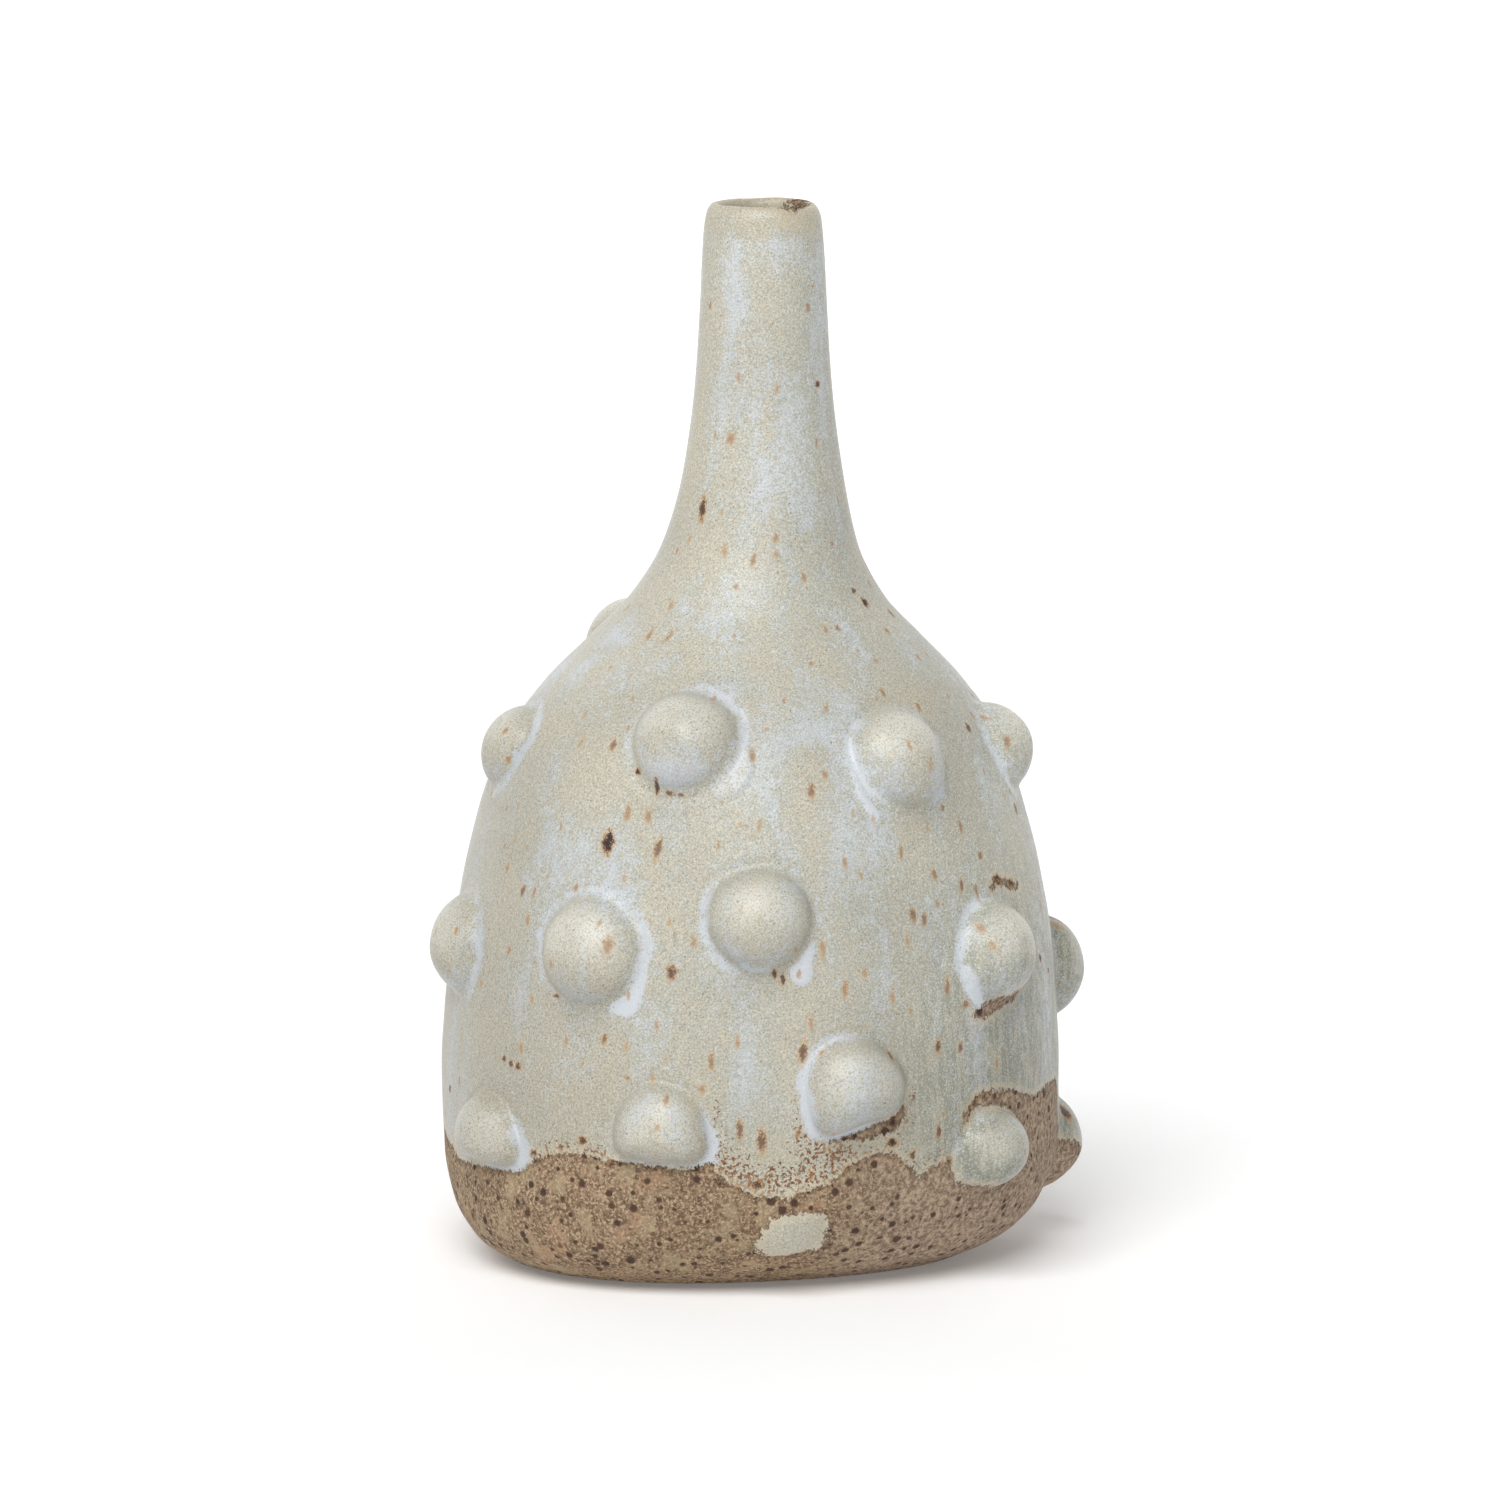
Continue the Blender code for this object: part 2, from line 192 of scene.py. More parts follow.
# The glaze's lower edge: azimuth, height.
GLAZE_LINE = [
    (-180, 26), (-172, 28), (-164, 31), (-156, 30), (-150, 27), (-142, 25), (-134, 29),
    (-126, 30), (-118, 24), (-110, 22), (-100, 25), (-90, 27), (-80, 26), (-72, 24.5),
    (-65, 22.0), (-58, 22.5), (-53, 23.1), (-48.5, 23.3), (-44.4, 23.6), (-42.2, 25.9), (-38.9, 28.0),
    (-35.6, 28.9), (-32.3, 28.9), (-29.2, 28.6), (-26.2, 28.5), (-22.8, 28.2), (-19.4, 28.2),
    (-15.7, 28.0), (-12.0, 27.6), (-8.4, 28.1), (-6.6, 29.4), (-5.0, 25.9), (-1.9, 24.0),
    (2.7, 22.0), (8.2, 21.8), (10.9, 22.8), (15.5, 24.4), (18.1, 27.4), (20.9, 28.9),
    (24.8, 29.9), (27.4, 29.5), (30.0, 27.2), (33.2, 24.0), (35.0, 25.6), (38.5, 26.8),
    (41.0, 26.8), (42.4, 28.4), (43.4, 32.6), (44.6, 37.6), (46.4, 39.3), (48.4, 39.8), (50.3, 39.5), (53.7, 39.2),
    (57.7, 38.2), (61.5, 36.9), (64.5, 35.9), (67.0, 35.7), (70.2, 36.3), (73.5, 36.8),
    (79, 36.6), (82, 33.5), (84.5, 26.5), (88, 22.0), (95, 20.6), (102, 22.0), (107, 27), (114, 32),
    (122, 30), (130, 24.5), (138, 23), (146, 27), (154, 31), (162, 29), (171, 23), (180, 26),
]

# Iron spots: azimuth, height, half width, half length, darkness.
SPOTS = [
    (-31.0, 91.5, 1.3, 2.5, 1.0), (-43.5, 154.5, 0.9, 2.6, 0.9), (-19.5, 91.0, 0.8, 2.4, 0.6),
    (58.0, 81.0, 1.6, 1.2, 0.9), (63.0, 79.8, 1.3, 1.0, 0.9), (2.5, 33.5, 1.0, 2.4, 0.7),
    (9.5, 51.5, 0.9, 2.4, 0.7), (-15.0, 67.0, 1.1, 1.5, 0.8), (4.3, 67.2, 0.5, 1.0, 0.9),
    (5.8, 65.9, 0.5, 1.1, 0.8), (-1.5, 36.0, 0.7, 2.2, 0.6), (45.6, 38.3, 1.0, 1.3, 1.0),
    (33.0, 77.0, 0.8, 1.4, 0.5), (36.5, 50.5, 0.8, 1.7, 0.7), (-25.5, 71.5, 0.8, 1.9, 0.3),
    (-26.0, 169.0, 0.9, 1.3, 0.3), (27.0, 36.6, 1.0, 1.2, 0.9), (13.0, 102.5, 0.8, 1.7, 0.5),
    (-27.5, 97.5, 0.8, 1.9, 0.3), (-49.0, 45.3, 0.7, 0.9, 0.8), (-46.9, 45.0, 0.9, 0.9, 0.9),
    (-35.5, 110.0, 0.8, 1.4, 0.5), (27.0, 32.0, 1.1, 1.1, 1.0), (-31.0, 32.0, 1.0, 1.0, 0.9),
    (46.5, 81.5, 0.7, 1.4, 0.6), (57.0, 135.5, 0.9, 1.2, 1.0), (-7.0, 49.5, 0.6, 1.7, 0.4),
    (17.5, 63.5, 0.7, 1.6, 0.3), (-21.0, 102.6, 0.6, 1.5, 0.9), (-4.0, 145.0, 0.6, 1.4, 0.4),
    (-22.5, 97.0, 0.7, 1.4, 0.3), (35.5, 76.0, 0.7, 1.4, 0.5), (43.0, 35.0, 0.6, 1.7, 0.8),
    (25.5, 50.0, 0.7, 1.0, 0.7), (37.0, 33.0, 0.7, 1.2, 0.7), (-21.5, 146.5, 0.6, 1.4, 0.15),
    (-27.5, 53.0, 0.7, 1.2, 0.5), (-51.0, 80.0, 0.7, 1.2, 0.6), (39.5, 84.5, 0.7, 1.3, 0.4),
    (65.5, 110.5, 0.9, 1.2, 0.8), (39.5, 62.0, 0.7, 1.9, 0.4), (-26.5, 105.3, 0.9, 0.7, 1.0),
    (18.5, 27.0, 0.9, 1.1, 0.9), (-35.0, 130.0, 0.6, 1.4, 0.3), (42.0, 49.5, 0.7, 1.1, 0.6),
    (31.5, 29.0, 0.7, 1.0, 0.8), (49.5, 93.0, 0.5, 1.8, 0.4), (-44.5, 130.0, 0.6, 1.7, 0.3),
    (39.0, 119.5, 0.5, 1.4, 0.4), (-41.5, 28.0, 0.9, 1.0, 0.9), (53.0, 138.0, 0.8, 0.8, 0.8),
    (19.0, 88.5, 0.6, 1.5, 0.3), (-35.5, 30.0, 0.7, 0.9, 0.8), (50.5, 79.5, 0.6, 1.7, 0.4),
    (13.5, 71.5, 0.6, 1.8, 0.2), (-51.0, 46.0, 0.6, 0.8, 0.8), (39.5, 27.0, 0.9, 0.9, 0.7),
    (27.0, 61.5, 0.6, 1.6, 0.2), (-38.0, 60.5, 0.9, 0.5, 0.8), (-11.0, 73.0, 0.6, 1.2, 0.3),
    (-47.5, 80.0, 0.5, 1.3, 0.3), (52.0, 179.5, 0.7, 0.8, 0.9), (11.0, 57.0, 0.6, 1.4, 0.2),
    (32.0, 89.5, 0.5, 1.5, 0.3), (75.0, 93.0, 0.8, 1.2, 0.7), (71.5, 112.5, 0.8, 1.2, 0.3),
    (44.0, 195.0, 0.5, 1.1, 0.3), (-42.5, 135.5, 0.6, 1.2, 0.2), (43.5, 58.0, 1.0, 0.9, 0.5),
    (-74.0, 35.5, 0.9, 0.9, 0.9), (-24.5, 27.4, 1.1, 0.7, 0.8), (54.0, 86.5, 0.8, 0.9, 0.5),
    (-45.5, 109.5, 0.5, 1.3, 0.2), (24.0, 141.5, 0.5, 1.1, 0.3), (-8.5, 44.0, 0.6, 0.9, 0.3),
    (34.5, 131.5, 0.6, 1.0, 0.4), (28.5, 131.5, 0.6, 1.0, 0.3), (21.5, 66.5, 0.6, 1.0, 0.2),
    (45.0, 97.0, 0.7, 0.7, 0.4), (74.0, 132.5, 0.9, 1.2, 0.6), (-18.0, 101.6, 0.9, 0.5, 0.7),
    (-15.5, 101.4, 0.7, 0.4, 0.6), (59.0, 130.0, 0.6, 0.8, 0.5), (9.0, 35.0, 0.5, 1.1, 0.4),
    (1.5, 96.0, 0.5, 1.2, 0.2), (72.0, 63.0, 0.7, 0.9, 1.0), (76.5, 59.6, 0.6, 0.7, 0.9),
    (-57.0, 195.5, 0.5, 0.9, 0.4), (-22.0, 181.5, 0.5, 0.9, 0.2), (64.5, 124.5, 0.6, 1.0, 0.4),
    (-68.0, 38.5, 0.5, 1.2, 0.4), (45.0, 168.0, 0.4, 1.1, 0.3), (-75.0, 96.0, 0.8, 0.9, 0.4),
    (48.6, 38.4, 1.7, 0.8, 0.75), (52.4, 37.9, 1.5, 0.8, 0.7), (44.0, 36.2, 0.8, 1.3, 0.9), (56.0, 36.6, 1.2, 0.8, 0.7),
    (22.0, 24.5, 1.0, 1.1, 0.95), (16.0, 23.5, 0.8, 0.9, 0.9), (2.0, 24.5, 1.0, 0.9, 0.9), (-15.0, 12.0, 1.1, 1.0, 0.95), (-12.2, 11.0, 0.9, 0.8, 0.9),
    (97.0, 33.0, 0.8, 1.1, 0.9), (92.0, 27.0, 1.4, 1.6, 0.9), (99.0, 26.0, 0.8, 0.9, 0.7),
]

# Where glaze pools white (positive) or thins to cream (negative):
# azimuth, height, half width, half height, strength.
POOLS = [
    (-25, 199, 2.0, 6.5, 1.0), (-35, 179, 1.7, 22.4, 0.5), (-5, 177, 1.9, 9.5, 0.7),
    (3, 158, 2.2, 8.0, 0.8), (10, 137, 2.6, 12.2, 0.35), (10, 209, 6.2, 4.0, 0.5),
    (55, 204, 4.3, 3.0, 0.7), (56, 176, 1.7, 14.0, 0.4), (-19, 135, 3.4, 9.2, 0.3),
    (21, 123, 5.4, 7.1, 0.5), (15, 113, 4.6, 3.0, 0.6), (-70, 122, 11.0, 3.2, 0.55),
    (-62, 129, 8.2, 3.0, 0.45), (-72, 95, 7.7, 8.1, 0.4), (-37, 90, 7.6, 5.1, 0.4),
    (20, 93, 8.6, 8.1, 0.3), (26, 63, 2.7, 3.7, 0.45), (13, 81, 5.2, 5.1, 0.25),
    (-33, 46, 5.4, 2.2, 0.4), (43, 103, 5.6, 6.1, 0.2), (-41, 125, 5.4, 5.1, 0.35),
    (-64, 188, 1.9, 22.0, -0.9), (-67, 160, 3.4, 12.0, -0.7), (-55, 111, 11.4, 4.5, -0.7),
    (49, 117, 9.3, 6.1, -0.8), (-62, 84, 6.0, 5.1, -0.5), (-55, 51, 12.4, 5.1, -0.7),
    (-21, 64, 7.6, 3.1, -0.4), (60, 132, 8.2, 5.1, -0.6), (67, 88, 6.3, 6.1, -0.4),
    (-34, 103, 6.1, 4.1, -0.4), (-5, 123, 3.7, 4.1, -0.3), (-48, 72, 3.0, 6.1, -0.3),
    (-5, 40, 4.1, 4.1, -0.3), (28, 43, 4.2, 4.1, -0.2), (75, 143, 5.4, 7.0, -0.6),
    (64, 43, 5.5, 4.1, -0.5), (-1, 139, 6.0, 8.0, -0.45), (5, 28, 14.0, 6.5, -1.0), (27, 31, 8.0, 5.0, -0.7), (-33, 31, 7.0, 3.5, -0.7),
    (120, 150, 4, 20, 0.6), (165, 170, 2.2, 18, 0.7), (-150, 150, 4, 18, 0.6), (-110, 180, 2, 14, 0.5),
    (-165, 128, 6, 8, 0.5), (110, 124, 8, 6, 0.5), (150, 88, 8, 6, 0.4), (-150, 80, 8, 6, 0.4),
    (125, 80, 7, 6, -0.6), (-150, 108, 8, 5, -0.6), (170, 50, 9, 5, -0.6), (-110, 70, 8, 8, -0.5),
    (-95, 45, 10, 6, -0.5), (115, 45, 9, 6, 0.3),
]


def through(stations, x):
    """Monotone cubic through (x, y) stations, for arrays."""
    xs = np.array([s[0] for s in stations], float)
    ys = np.array([s[1] for s in stations], float)
    x = np.clip(np.asarray(x, float), xs[0], xs[-1])
    h = np.diff(xs)
    d = np.diff(ys) / h
    m = np.zeros(len(xs))
    for i in range(1, len(xs) - 1):
        if d[i - 1] * d[i] > 0:
            w1, w2 = 2 * h[i] + h[i - 1], h[i] + 2 * h[i - 1]
            m[i] = (w1 + w2) / (w1 / d[i - 1] + w2 / d[i])
    m[0], m[-1] = d[0], d[-1]
    i = np.clip(np.searchsorted(xs, x) - 1, 0, len(xs) - 2)
    t = (x - xs[i]) / h[i]
    return (
        (2 * t**3 - 3 * t**2 + 1) * ys[i]
        + (t**3 - 2 * t**2 + t) * h[i] * m[i]
        + (-2 * t**3 + 3 * t**2) * ys[i + 1]
        + (t**3 - t**2) * h[i] * m[i + 1]
    )


def step(a, b, x):
    t = np.clip((np.asarray(x, float) - a) / (b - a), 0.0, 1.0)
    return t * t * (3 - 2 * t)


def waves(seed, wavelength, n=14):
    """A smooth random field of position, about -1..1, made of plane waves."""
    rng = np.random.RandomState(seed)
    d = rng.normal(size=(n, 3))
    d /= np.linalg.norm(d, axis=1, keepdims=True)
    k = d * (2 * math.pi / (wavelength * rng.uniform(0.75, 1.35, (n, 1))))
    p = rng.uniform(0, 2 * math.pi, n)

    def field(pts):
        return np.sin(pts @ k.T + p).sum(-1) * math.sqrt(2.0 / n) * 0.7

    return field


BROAD, HAND = waves(3, 52.0), waves(7, 17.0)


def form(phi, z):
    """A point of the smooth outer form: phi in radians from the front."""
    phi, z = np.broadcast_arrays(np.asarray(phi, float), np.asarray(z, float))
    t = phi - math.pi / 2
    fade = np.exp(-((z / FOOT_FADE) ** 2))
    share = FOOT_BACK_SHARE + (1 - FOOT_BACK_SHARE) * step(-0.85, -0.1, np.cos(phi))
    a, b, c, d = FOOT_LOBES
    lobes = 1 + fade * share * (a * np.cos(2 * t) + b * np.sin(2 * t) + c * np.cos(3 * t) + d * np.sin(3 * t))
    r = through(PROFILE, z) * lobes
    return np.stack([through(AXIS_LEAN, z) + r * np.cos(t), r * np.sin(t) + fade * FOOT_SHIFT_Y, z], -1)


def form_normal(phi, z, surface=None):
    surface = surface or form
    along = surface(phi + 0.004, z) - surface(phi - 0.004, z)
    zz = np.clip(z, 0.25, 215.0)
    up = surface(phi, zz + 0.25) - surface(phi, zz - 0.25)
    n = np.cross(along, up)
    return n / np.linalg.norm(n, axis=-1, keepdims=True)


def skin(phi, z):
    """The hand-formed outer surface: the smooth form with slight waviness."""
    p = form(phi, z)
    t = np.asarray(phi) - math.pi / 2
    out = np.stack([np.cos(t) + 0 * p[..., 2], np.sin(t) + 0 * p[..., 2], 0 * p[..., 2]], -1)
    size = np.clip(through(PROFILE, z) / 50.0, 0.15, 1.0) * step(0.0, 6.0, z)
    bump = (0.30 * BROAD(p) + 0.09 * HAND(p)) * size
    return p + out * bump[..., None]


_Z = np.linspace(0.0, 216.0, 2161)
_R = through(PROFILE, _Z)
_S = np.concatenate([[0.0], np.cumsum(np.hypot(np.diff(_Z), np.diff(_R)))])


def arc(z):
    return np.interp(z, _Z, _S)


def height_at(s):
    return np.interp(s, _S, _Z)


def wrap(a):
    return (np.asarray(a) + math.pi) % (2 * math.pi) - math.pi


def flat(phi, z, phi0, z0):
    """Distances in millimetres across and up the wall from a point of it."""
    return wrap(phi - phi0) * through(PROFILE, z), arc(z) - arc(z0)


# ------------------------------------------------------------------ the glaze
def angle_lobe(theta, centre, spread):
    d = wrap(theta - math.radians(centre))
    return np.exp(-(np.abs(d / math.radians(spread)) ** 2.6))


def fillet_radius(name):
    _, _, a, h = BOBBLES[name]
    ball = (a * a + h * h) / (2 * h)
    f = GATHER[name].get("fillet", 2.4 if h > 4 else 3.0)
    foot = math.sqrt((ball + f) ** 2 - (f - (h - ball)) ** 2)
    return ball, f, foot


def outline_factor(name, theta):
    """How far the dome's outline lies from round, at angles theta."""
    stations = GATHER[name].get("outline")
    if not stations:
        return np.ones(np.shape(theta))
    stations = sorted((math.radians(t) % (2 * math.pi), d) for t, d in stations)
    t = np.array([q[0] for q in stations])
    d = np.array([q[1] for q in stations])
    fine = np.linspace(0, 2 * math.pi, 361)
    line = np.interp(fine, t, d, period=2 * math.pi)[:-1]
    kernel = np.exp(-((np.arange(-12, 13) / 5.0) ** 2))
    line = np.convolve(np.r_[line[-12:], line, line[:12]], kernel / kernel.sum(), "valid")
    return np.interp(theta % (2 * math.pi), fine, np.r_[line, line[0]]) / fillet_radius(name)[2]


def stroke(a, b, points):
    """Signed distance inside a stroke of (a, b, half width) points."""
    best = np.full(np.shape(a), -99.0)
    for (x0, y0, r0), (x1, y1, r1) in zip(points, points[1:]):
        dx, dy = x1 - x0, y1 - y0
        t = np.clip(((a - x0) * dx + (b - y0) * dy) / (dx * dx + dy * dy), 0, 1)
        best = np.maximum(best, r0 + (r1 - r0) * t - np.hypot(a - x0 - t * dx, b - y0 - t * dy))
    return best


def polygon(a, b, points):
    """Signed distance inside a polygon."""
    dist = np.full(np.shape(a), 99.0)
    inside = np.zeros(np.shape(a), bool)
    for (x0, y0), (x1, y1) in zip(points, points[1:] + points[:1]):
        dx, dy = x1 - x0, y1 - y0
        t = np.clip(((a - x0) * dx + (b - y0) * dy) / (dx * dx + dy * dy), 0, 1)
        dist = np.minimum(dist, np.hypot(a - x0 - t * dx, b - y0 - t * dy))
        crosses = (y0 > b) != (y1 > b)
        inside ^= crosses & (a < x0 + (b - y0) * dx / (dy if dy else 1e-9))
    return np.where(inside, dist, -dist)


def round_bobble(name, phi, z, reach=26.0):
    """Indices of the points near a bobble, and their local distances across and up."""
    spec = BOBBLES[name]
    a, b = flat(phi, z, math.radians(spec[0]), spec[1])
    near = (np.abs(a) < reach) & (np.abs(b) < reach)
    return near, a[near], b[near]


def gathered(phi, z, relief=False):
    """How far white glaze gathers round the bobbles, 0..1.2, or its thickness in millimetres."""
    phi, z = np.broadcast_arrays(phi, z)
    total = np.zeros(phi.shape)
    for name in BOBBLES:
        g = GATHER[name]
        near, a, b = round_bobble(name, phi, z)
        if not near.any():
            continue
        foot = fillet_radius(name)[2]
        theta = np.arctan2(b, a)
        rho = np.hypot(a, b) / outline_factor(name, theta)
        ring = np.zeros(a.shape)
        for centre, spread, strength in g.get("ring", []):
            ring = np.maximum(ring, strength * angle_lobe(theta, centre, spread))
        deg, height = BOBBLES[name][:2]
        wobble = 0.30 * np.sin(3 * theta + deg) + 0.22 * np.sin(7 * theta + height) + 0.15 * np.sin(13 * theta + deg)
        width = 1.05 + 0.35 * ring
        band = ring * np.exp(-((np.abs(rho - (foot - 0.75) - wobble) / width) ** 3.0))
        for points, strength in g.get("runs", []):
            inside = stroke(a, b, points)
            if relief:
                band = np.maximum(band, 1.3 * step(-0.5, 1.1, inside))
            else:
                band = np.maximum(band, strength * step(-0.45, 0.65, inside))
        total[near] = np.maximum(total[near], band * (0.28 if relief else 1.0))
    return total


def pooled(phi, z):
    total = np.zeros(np.broadcast(phi, z).shape)
    for centre, height, half_w, half_h, strength in POOLS:
        a, b = flat(phi, z, math.radians(centre), height)
        total += 0.9 * strength * np.exp(-((np.abs(a) / (half_w * 1.25)) ** 2) - (np.abs(b) / (half_h * 1.2)) ** 2)
    return total


def super_ellipse(a, b, half_a, half_b, power=2.6):
    """About the signed distance inside a rounded patch, in millimetres."""
    q = (np.abs(a / half_a) ** power + np.abs(b / half_b) ** power) ** (1 / power)
    return (1 - q) * np.minimum(half_a, half_b)


def islands(phi, z):
    """Signed distance inside the two dabs of glaze that stand below the glaze line."""
    phi, z = np.broadcast_arrays(phi, z)
    out = np.full(phi.shape, -30.0)
    near, a, b = round_bobble("bobble_row3_04", phi, z)
    out[near] = np.maximum(out[near], polygon(a, b, LOW_PATCH))
    near, a, b = round_bobble("bobble_foot_01", phi, z)
    out[near] = np.maximum(out[near], super_ellipse(a - 1.5, b + 1.0, 6.9 - 0.16 * b, 5.3, 3.2))
    return out


def glaze_edge(phi, z):
    """Signed distance to the glaze's edge in millimetres: positive where the clay is glazed."""
    phi, z = np.broadcast_arrays(phi, z)
    deg = np.degrees(wrap(phi))
    at, height = [q[0] for q in GLAZE_LINE], [q[1] for q in GLAZE_LINE]
    line = np.interp(deg, at, height)
    slope = (np.interp(deg + 0.6, at, height) - np.interp(deg - 0.6, at, height)) / (1.2 * 1.1)
    edge = (z - line) / np.sqrt(1 + np.clip(slope, -3, 3) ** 2)
    for name, strokes in BARE_STROKES.items():
        near, a, b = round_bobble(name, phi, z)
        for points in strokes:
            edge[near] = np.minimum(edge[near], -stroke(a, b, points))
    # The lowest front bobble ends in a straight lower edge with a bare wedge under it.
    near, a, b = round_bobble("bobble_row3_03", phi, z)
    foot = fillet_radius("bobble_row3_03")[2]
    theta = np.arctan2(b, a)
    outside = np.hypot(a, b) - foot * outline_factor("bobble_row3_03", theta)
    floor_of_wedge = np.interp(a, [-6, -4.2, -1.1, 3.2, 5.3, 8.2, 11], [-11.2, -10.5, -10.3, -10.5, -10.2, -9.4, -7.0])
    wedge = np.minimum(np.minimum(outside + 0.1, b - floor_of_wedge), np.minimum(a + 5.4, 10.4 - a))
    edge[near] = np.minimum(edge[near], np.where(b < 0, -wedge, 99))
    return np.maximum(edge, islands(phi, z))


def thinness(phi, z):
    """Where the glaze is thin and breaks into brown dots, 0..1."""
    deg = np.degrees(wrap(phi))
    edge = glaze_edge(phi, z)
    t = 0.30 * np.exp(-((edge / 2.0) ** 2))
    t = np.maximum(t, step(-9, -5, deg) * (1 - step(17, 22, deg)) * np.exp(-((np.maximum(edge - 2.5, 0) / 5.2) ** 2)) * 0.95)
    t = np.maximum(t, step(-43, -39, deg) * (1 - step(-24, -20, deg)) * np.exp(-((np.maximum(edge, 0) / 3.8) ** 2)) * 0.85)
    t = np.maximum(t, step(24, 30, deg) * (1 - step(37, 41, deg)) * np.exp(-((np.maximum(edge, 0) / 3.4) ** 2)) * 0.75)
    near, a, b = round_bobble("bobble_row3_03", phi, z)
    under = np.exp(-((np.maximum(np.abs(a - 1) - 8, 0) / 2.0) ** 2) - ((b + 13.5) / 3.0) ** 2)
    t[near] = np.maximum(t[near], 0.8 * under)
    near, a, b = round_bobble("bobble_row3_04", phi, z)
    t[near] = np.maximum(t[near], 0.7 * np.exp(-(((a + 8.5) / 2.2) ** 2) - ((b - 1.5) / 4.5) ** 2))
    near, a, b = round_bobble("bobble_row1_02", phi, z)
    t[near] = np.maximum(t[near], 0.30 * step(-1.2, 0.8, stroke(a, b, [(-7.5, -9.5, 1.0), (-1.0, -12.4, 1.8), (5.0, -11.8, 1.2)])))
    back = step(80, 100, np.abs(deg))
    t = np.maximum(t, back * 0.6 * np.exp(-((np.maximum(edge, 0) / 3.5) ** 2)) * (0.5 + 0.5 * np.sin(deg / 9.0)))
    t = np.maximum(t, 0.22 * step(212.8, 215.5, z))
    t = np.where(z < 21, t * (1 - step(-0.8, 0.2, islands(phi, z))), t)
    for name in ("bobble_row3_01", "bobble_row3_02", "bobble_row3_03"):
        near, a, b = round_bobble(name, phi, z)
        outside = np.hypot(a, b) - fillet_radius(name)[2] * outline_factor(name, np.arctan2(b, a))
        t[near] = t[near] * step(-0.3, 1.0, outside)
    near, a, b = round_bobble("bobble_row3_04", phi, z)
    t[near] = np.where(polygon(a, b, LOW_PATCH) > 1.2, 0.0, t[near])
    return t


def tones(phi, z):
    """-1 warm beige .. +1 cool green-grey."""
    deg = np.degrees(wrap(phi))
    side = np.tanh((deg - 12) / 38.0)
    low = 1 - step(30, 95, z)
    return np.clip(side * (0.35 + 0.60 * low) * np.where(np.abs(deg) > 110, 0.3, 1.0), -1, 1)


# ------------------------------------------------------------------ iron spots
def all_spots():
    """The measured spots, then seeded random ones for the sides, the back and the gaps between."""
    rng = np.random.RandomState(41)
    spots = [list(s) for s in SPOTS]
    for _ in range(900):
        if len(spots) > len(SPOTS) + 250:
            break
        z = float(rng.uniform(22, 213))
        if rng.uniform() > float(through(PROFILE, z)) / 64.0:
            continue
        deg = float(rng.uniform(-180, 180))
        front = abs(deg) < 80
        if front and z > 150 and rng.uniform() < 0.6:
            continue
        size = rng.uniform(0.35, 0.6) if front else rng.choice([rng.uniform(0.35, 0.6), rng.uniform(0.6, 1.1)], p=[0.62, 0.38])
        dark = rng.uniform(0.08, 0.35) if front else float(np.clip(rng.beta(1.2, 2.2) + 0.05, 0.08, 1.0))
        length = size * rng.uniform(1.0, 2.6)
        clear = all(
            math.hypot(wrap(math.radians(deg - s[0])) * float(through(PROFILE, z)), z - s[1]) > 3.2 for s in spots
        )
        if clear:
            spots.append([round(deg, 1), round(z, 1), round(size, 2), round(length, 2), round(dark, 2)])
    return spots


def spot_sets(spots):
    """Shares the spots between sets, so that no two in one set come near each other."""
    sets = []
    for s in sorted(spots, key=lambda s: -s[2] * s[3]):
        r = float(through(PROFILE, s[1]))
        for group in sets:
            if all(
                abs(float(wrap(math.radians(s[0] - o[0])))) * r > (s[2] + o[2]) * 1.7 + 5.0
                or abs(float(arc(s[1]) - arc(o[1]))) > (s[3] + o[3]) * 1.7 + 5.0
                for o in group
            ):
                group.append(s)
                break
        else:
            sets.append([s])
    return sets


SPOT_SETS = spot_sets(all_spots())[:4]
print("iron spots in sets", [len(s) for s in SPOT_SETS])


def spot_fields(phi, z):
    """For each set a vector per point: across and up in half sizes, and darkness (negative away from any spot)."""
    r, s = through(PROFILE, z), arc(z)
    out = []
    for group in SPOT_SETS:
        v = np.empty(phi.shape + (3,))
        v[...] = (9.0, 9.0, -8.0)
        for i, (deg, height, half_w, half_l, dark) in enumerate(group):
            u = wrap(phi - math.radians(deg)) * r
            w = s - float(arc(height))
            hit = (np.abs(u) < half_w * 1.6 + 1.7) & (np.abs(w) < half_l * 1.6 + 1.7)
            if hit.any():
                tilt = 0.12 * math.sin(7.0 * deg + height)
                v[hit] = np.stack([(u + tilt * w)[hit] / half_w, w[hit] / half_l, np.full(hit.sum(), max(dark, 0.06))], -1)
        out.append(v)
    while len(out) < 4:
        v = np.empty(phi.shape + (3,))
        v[...] = (9.0, 9.0, -8.0)
        out.append(v)
    return out


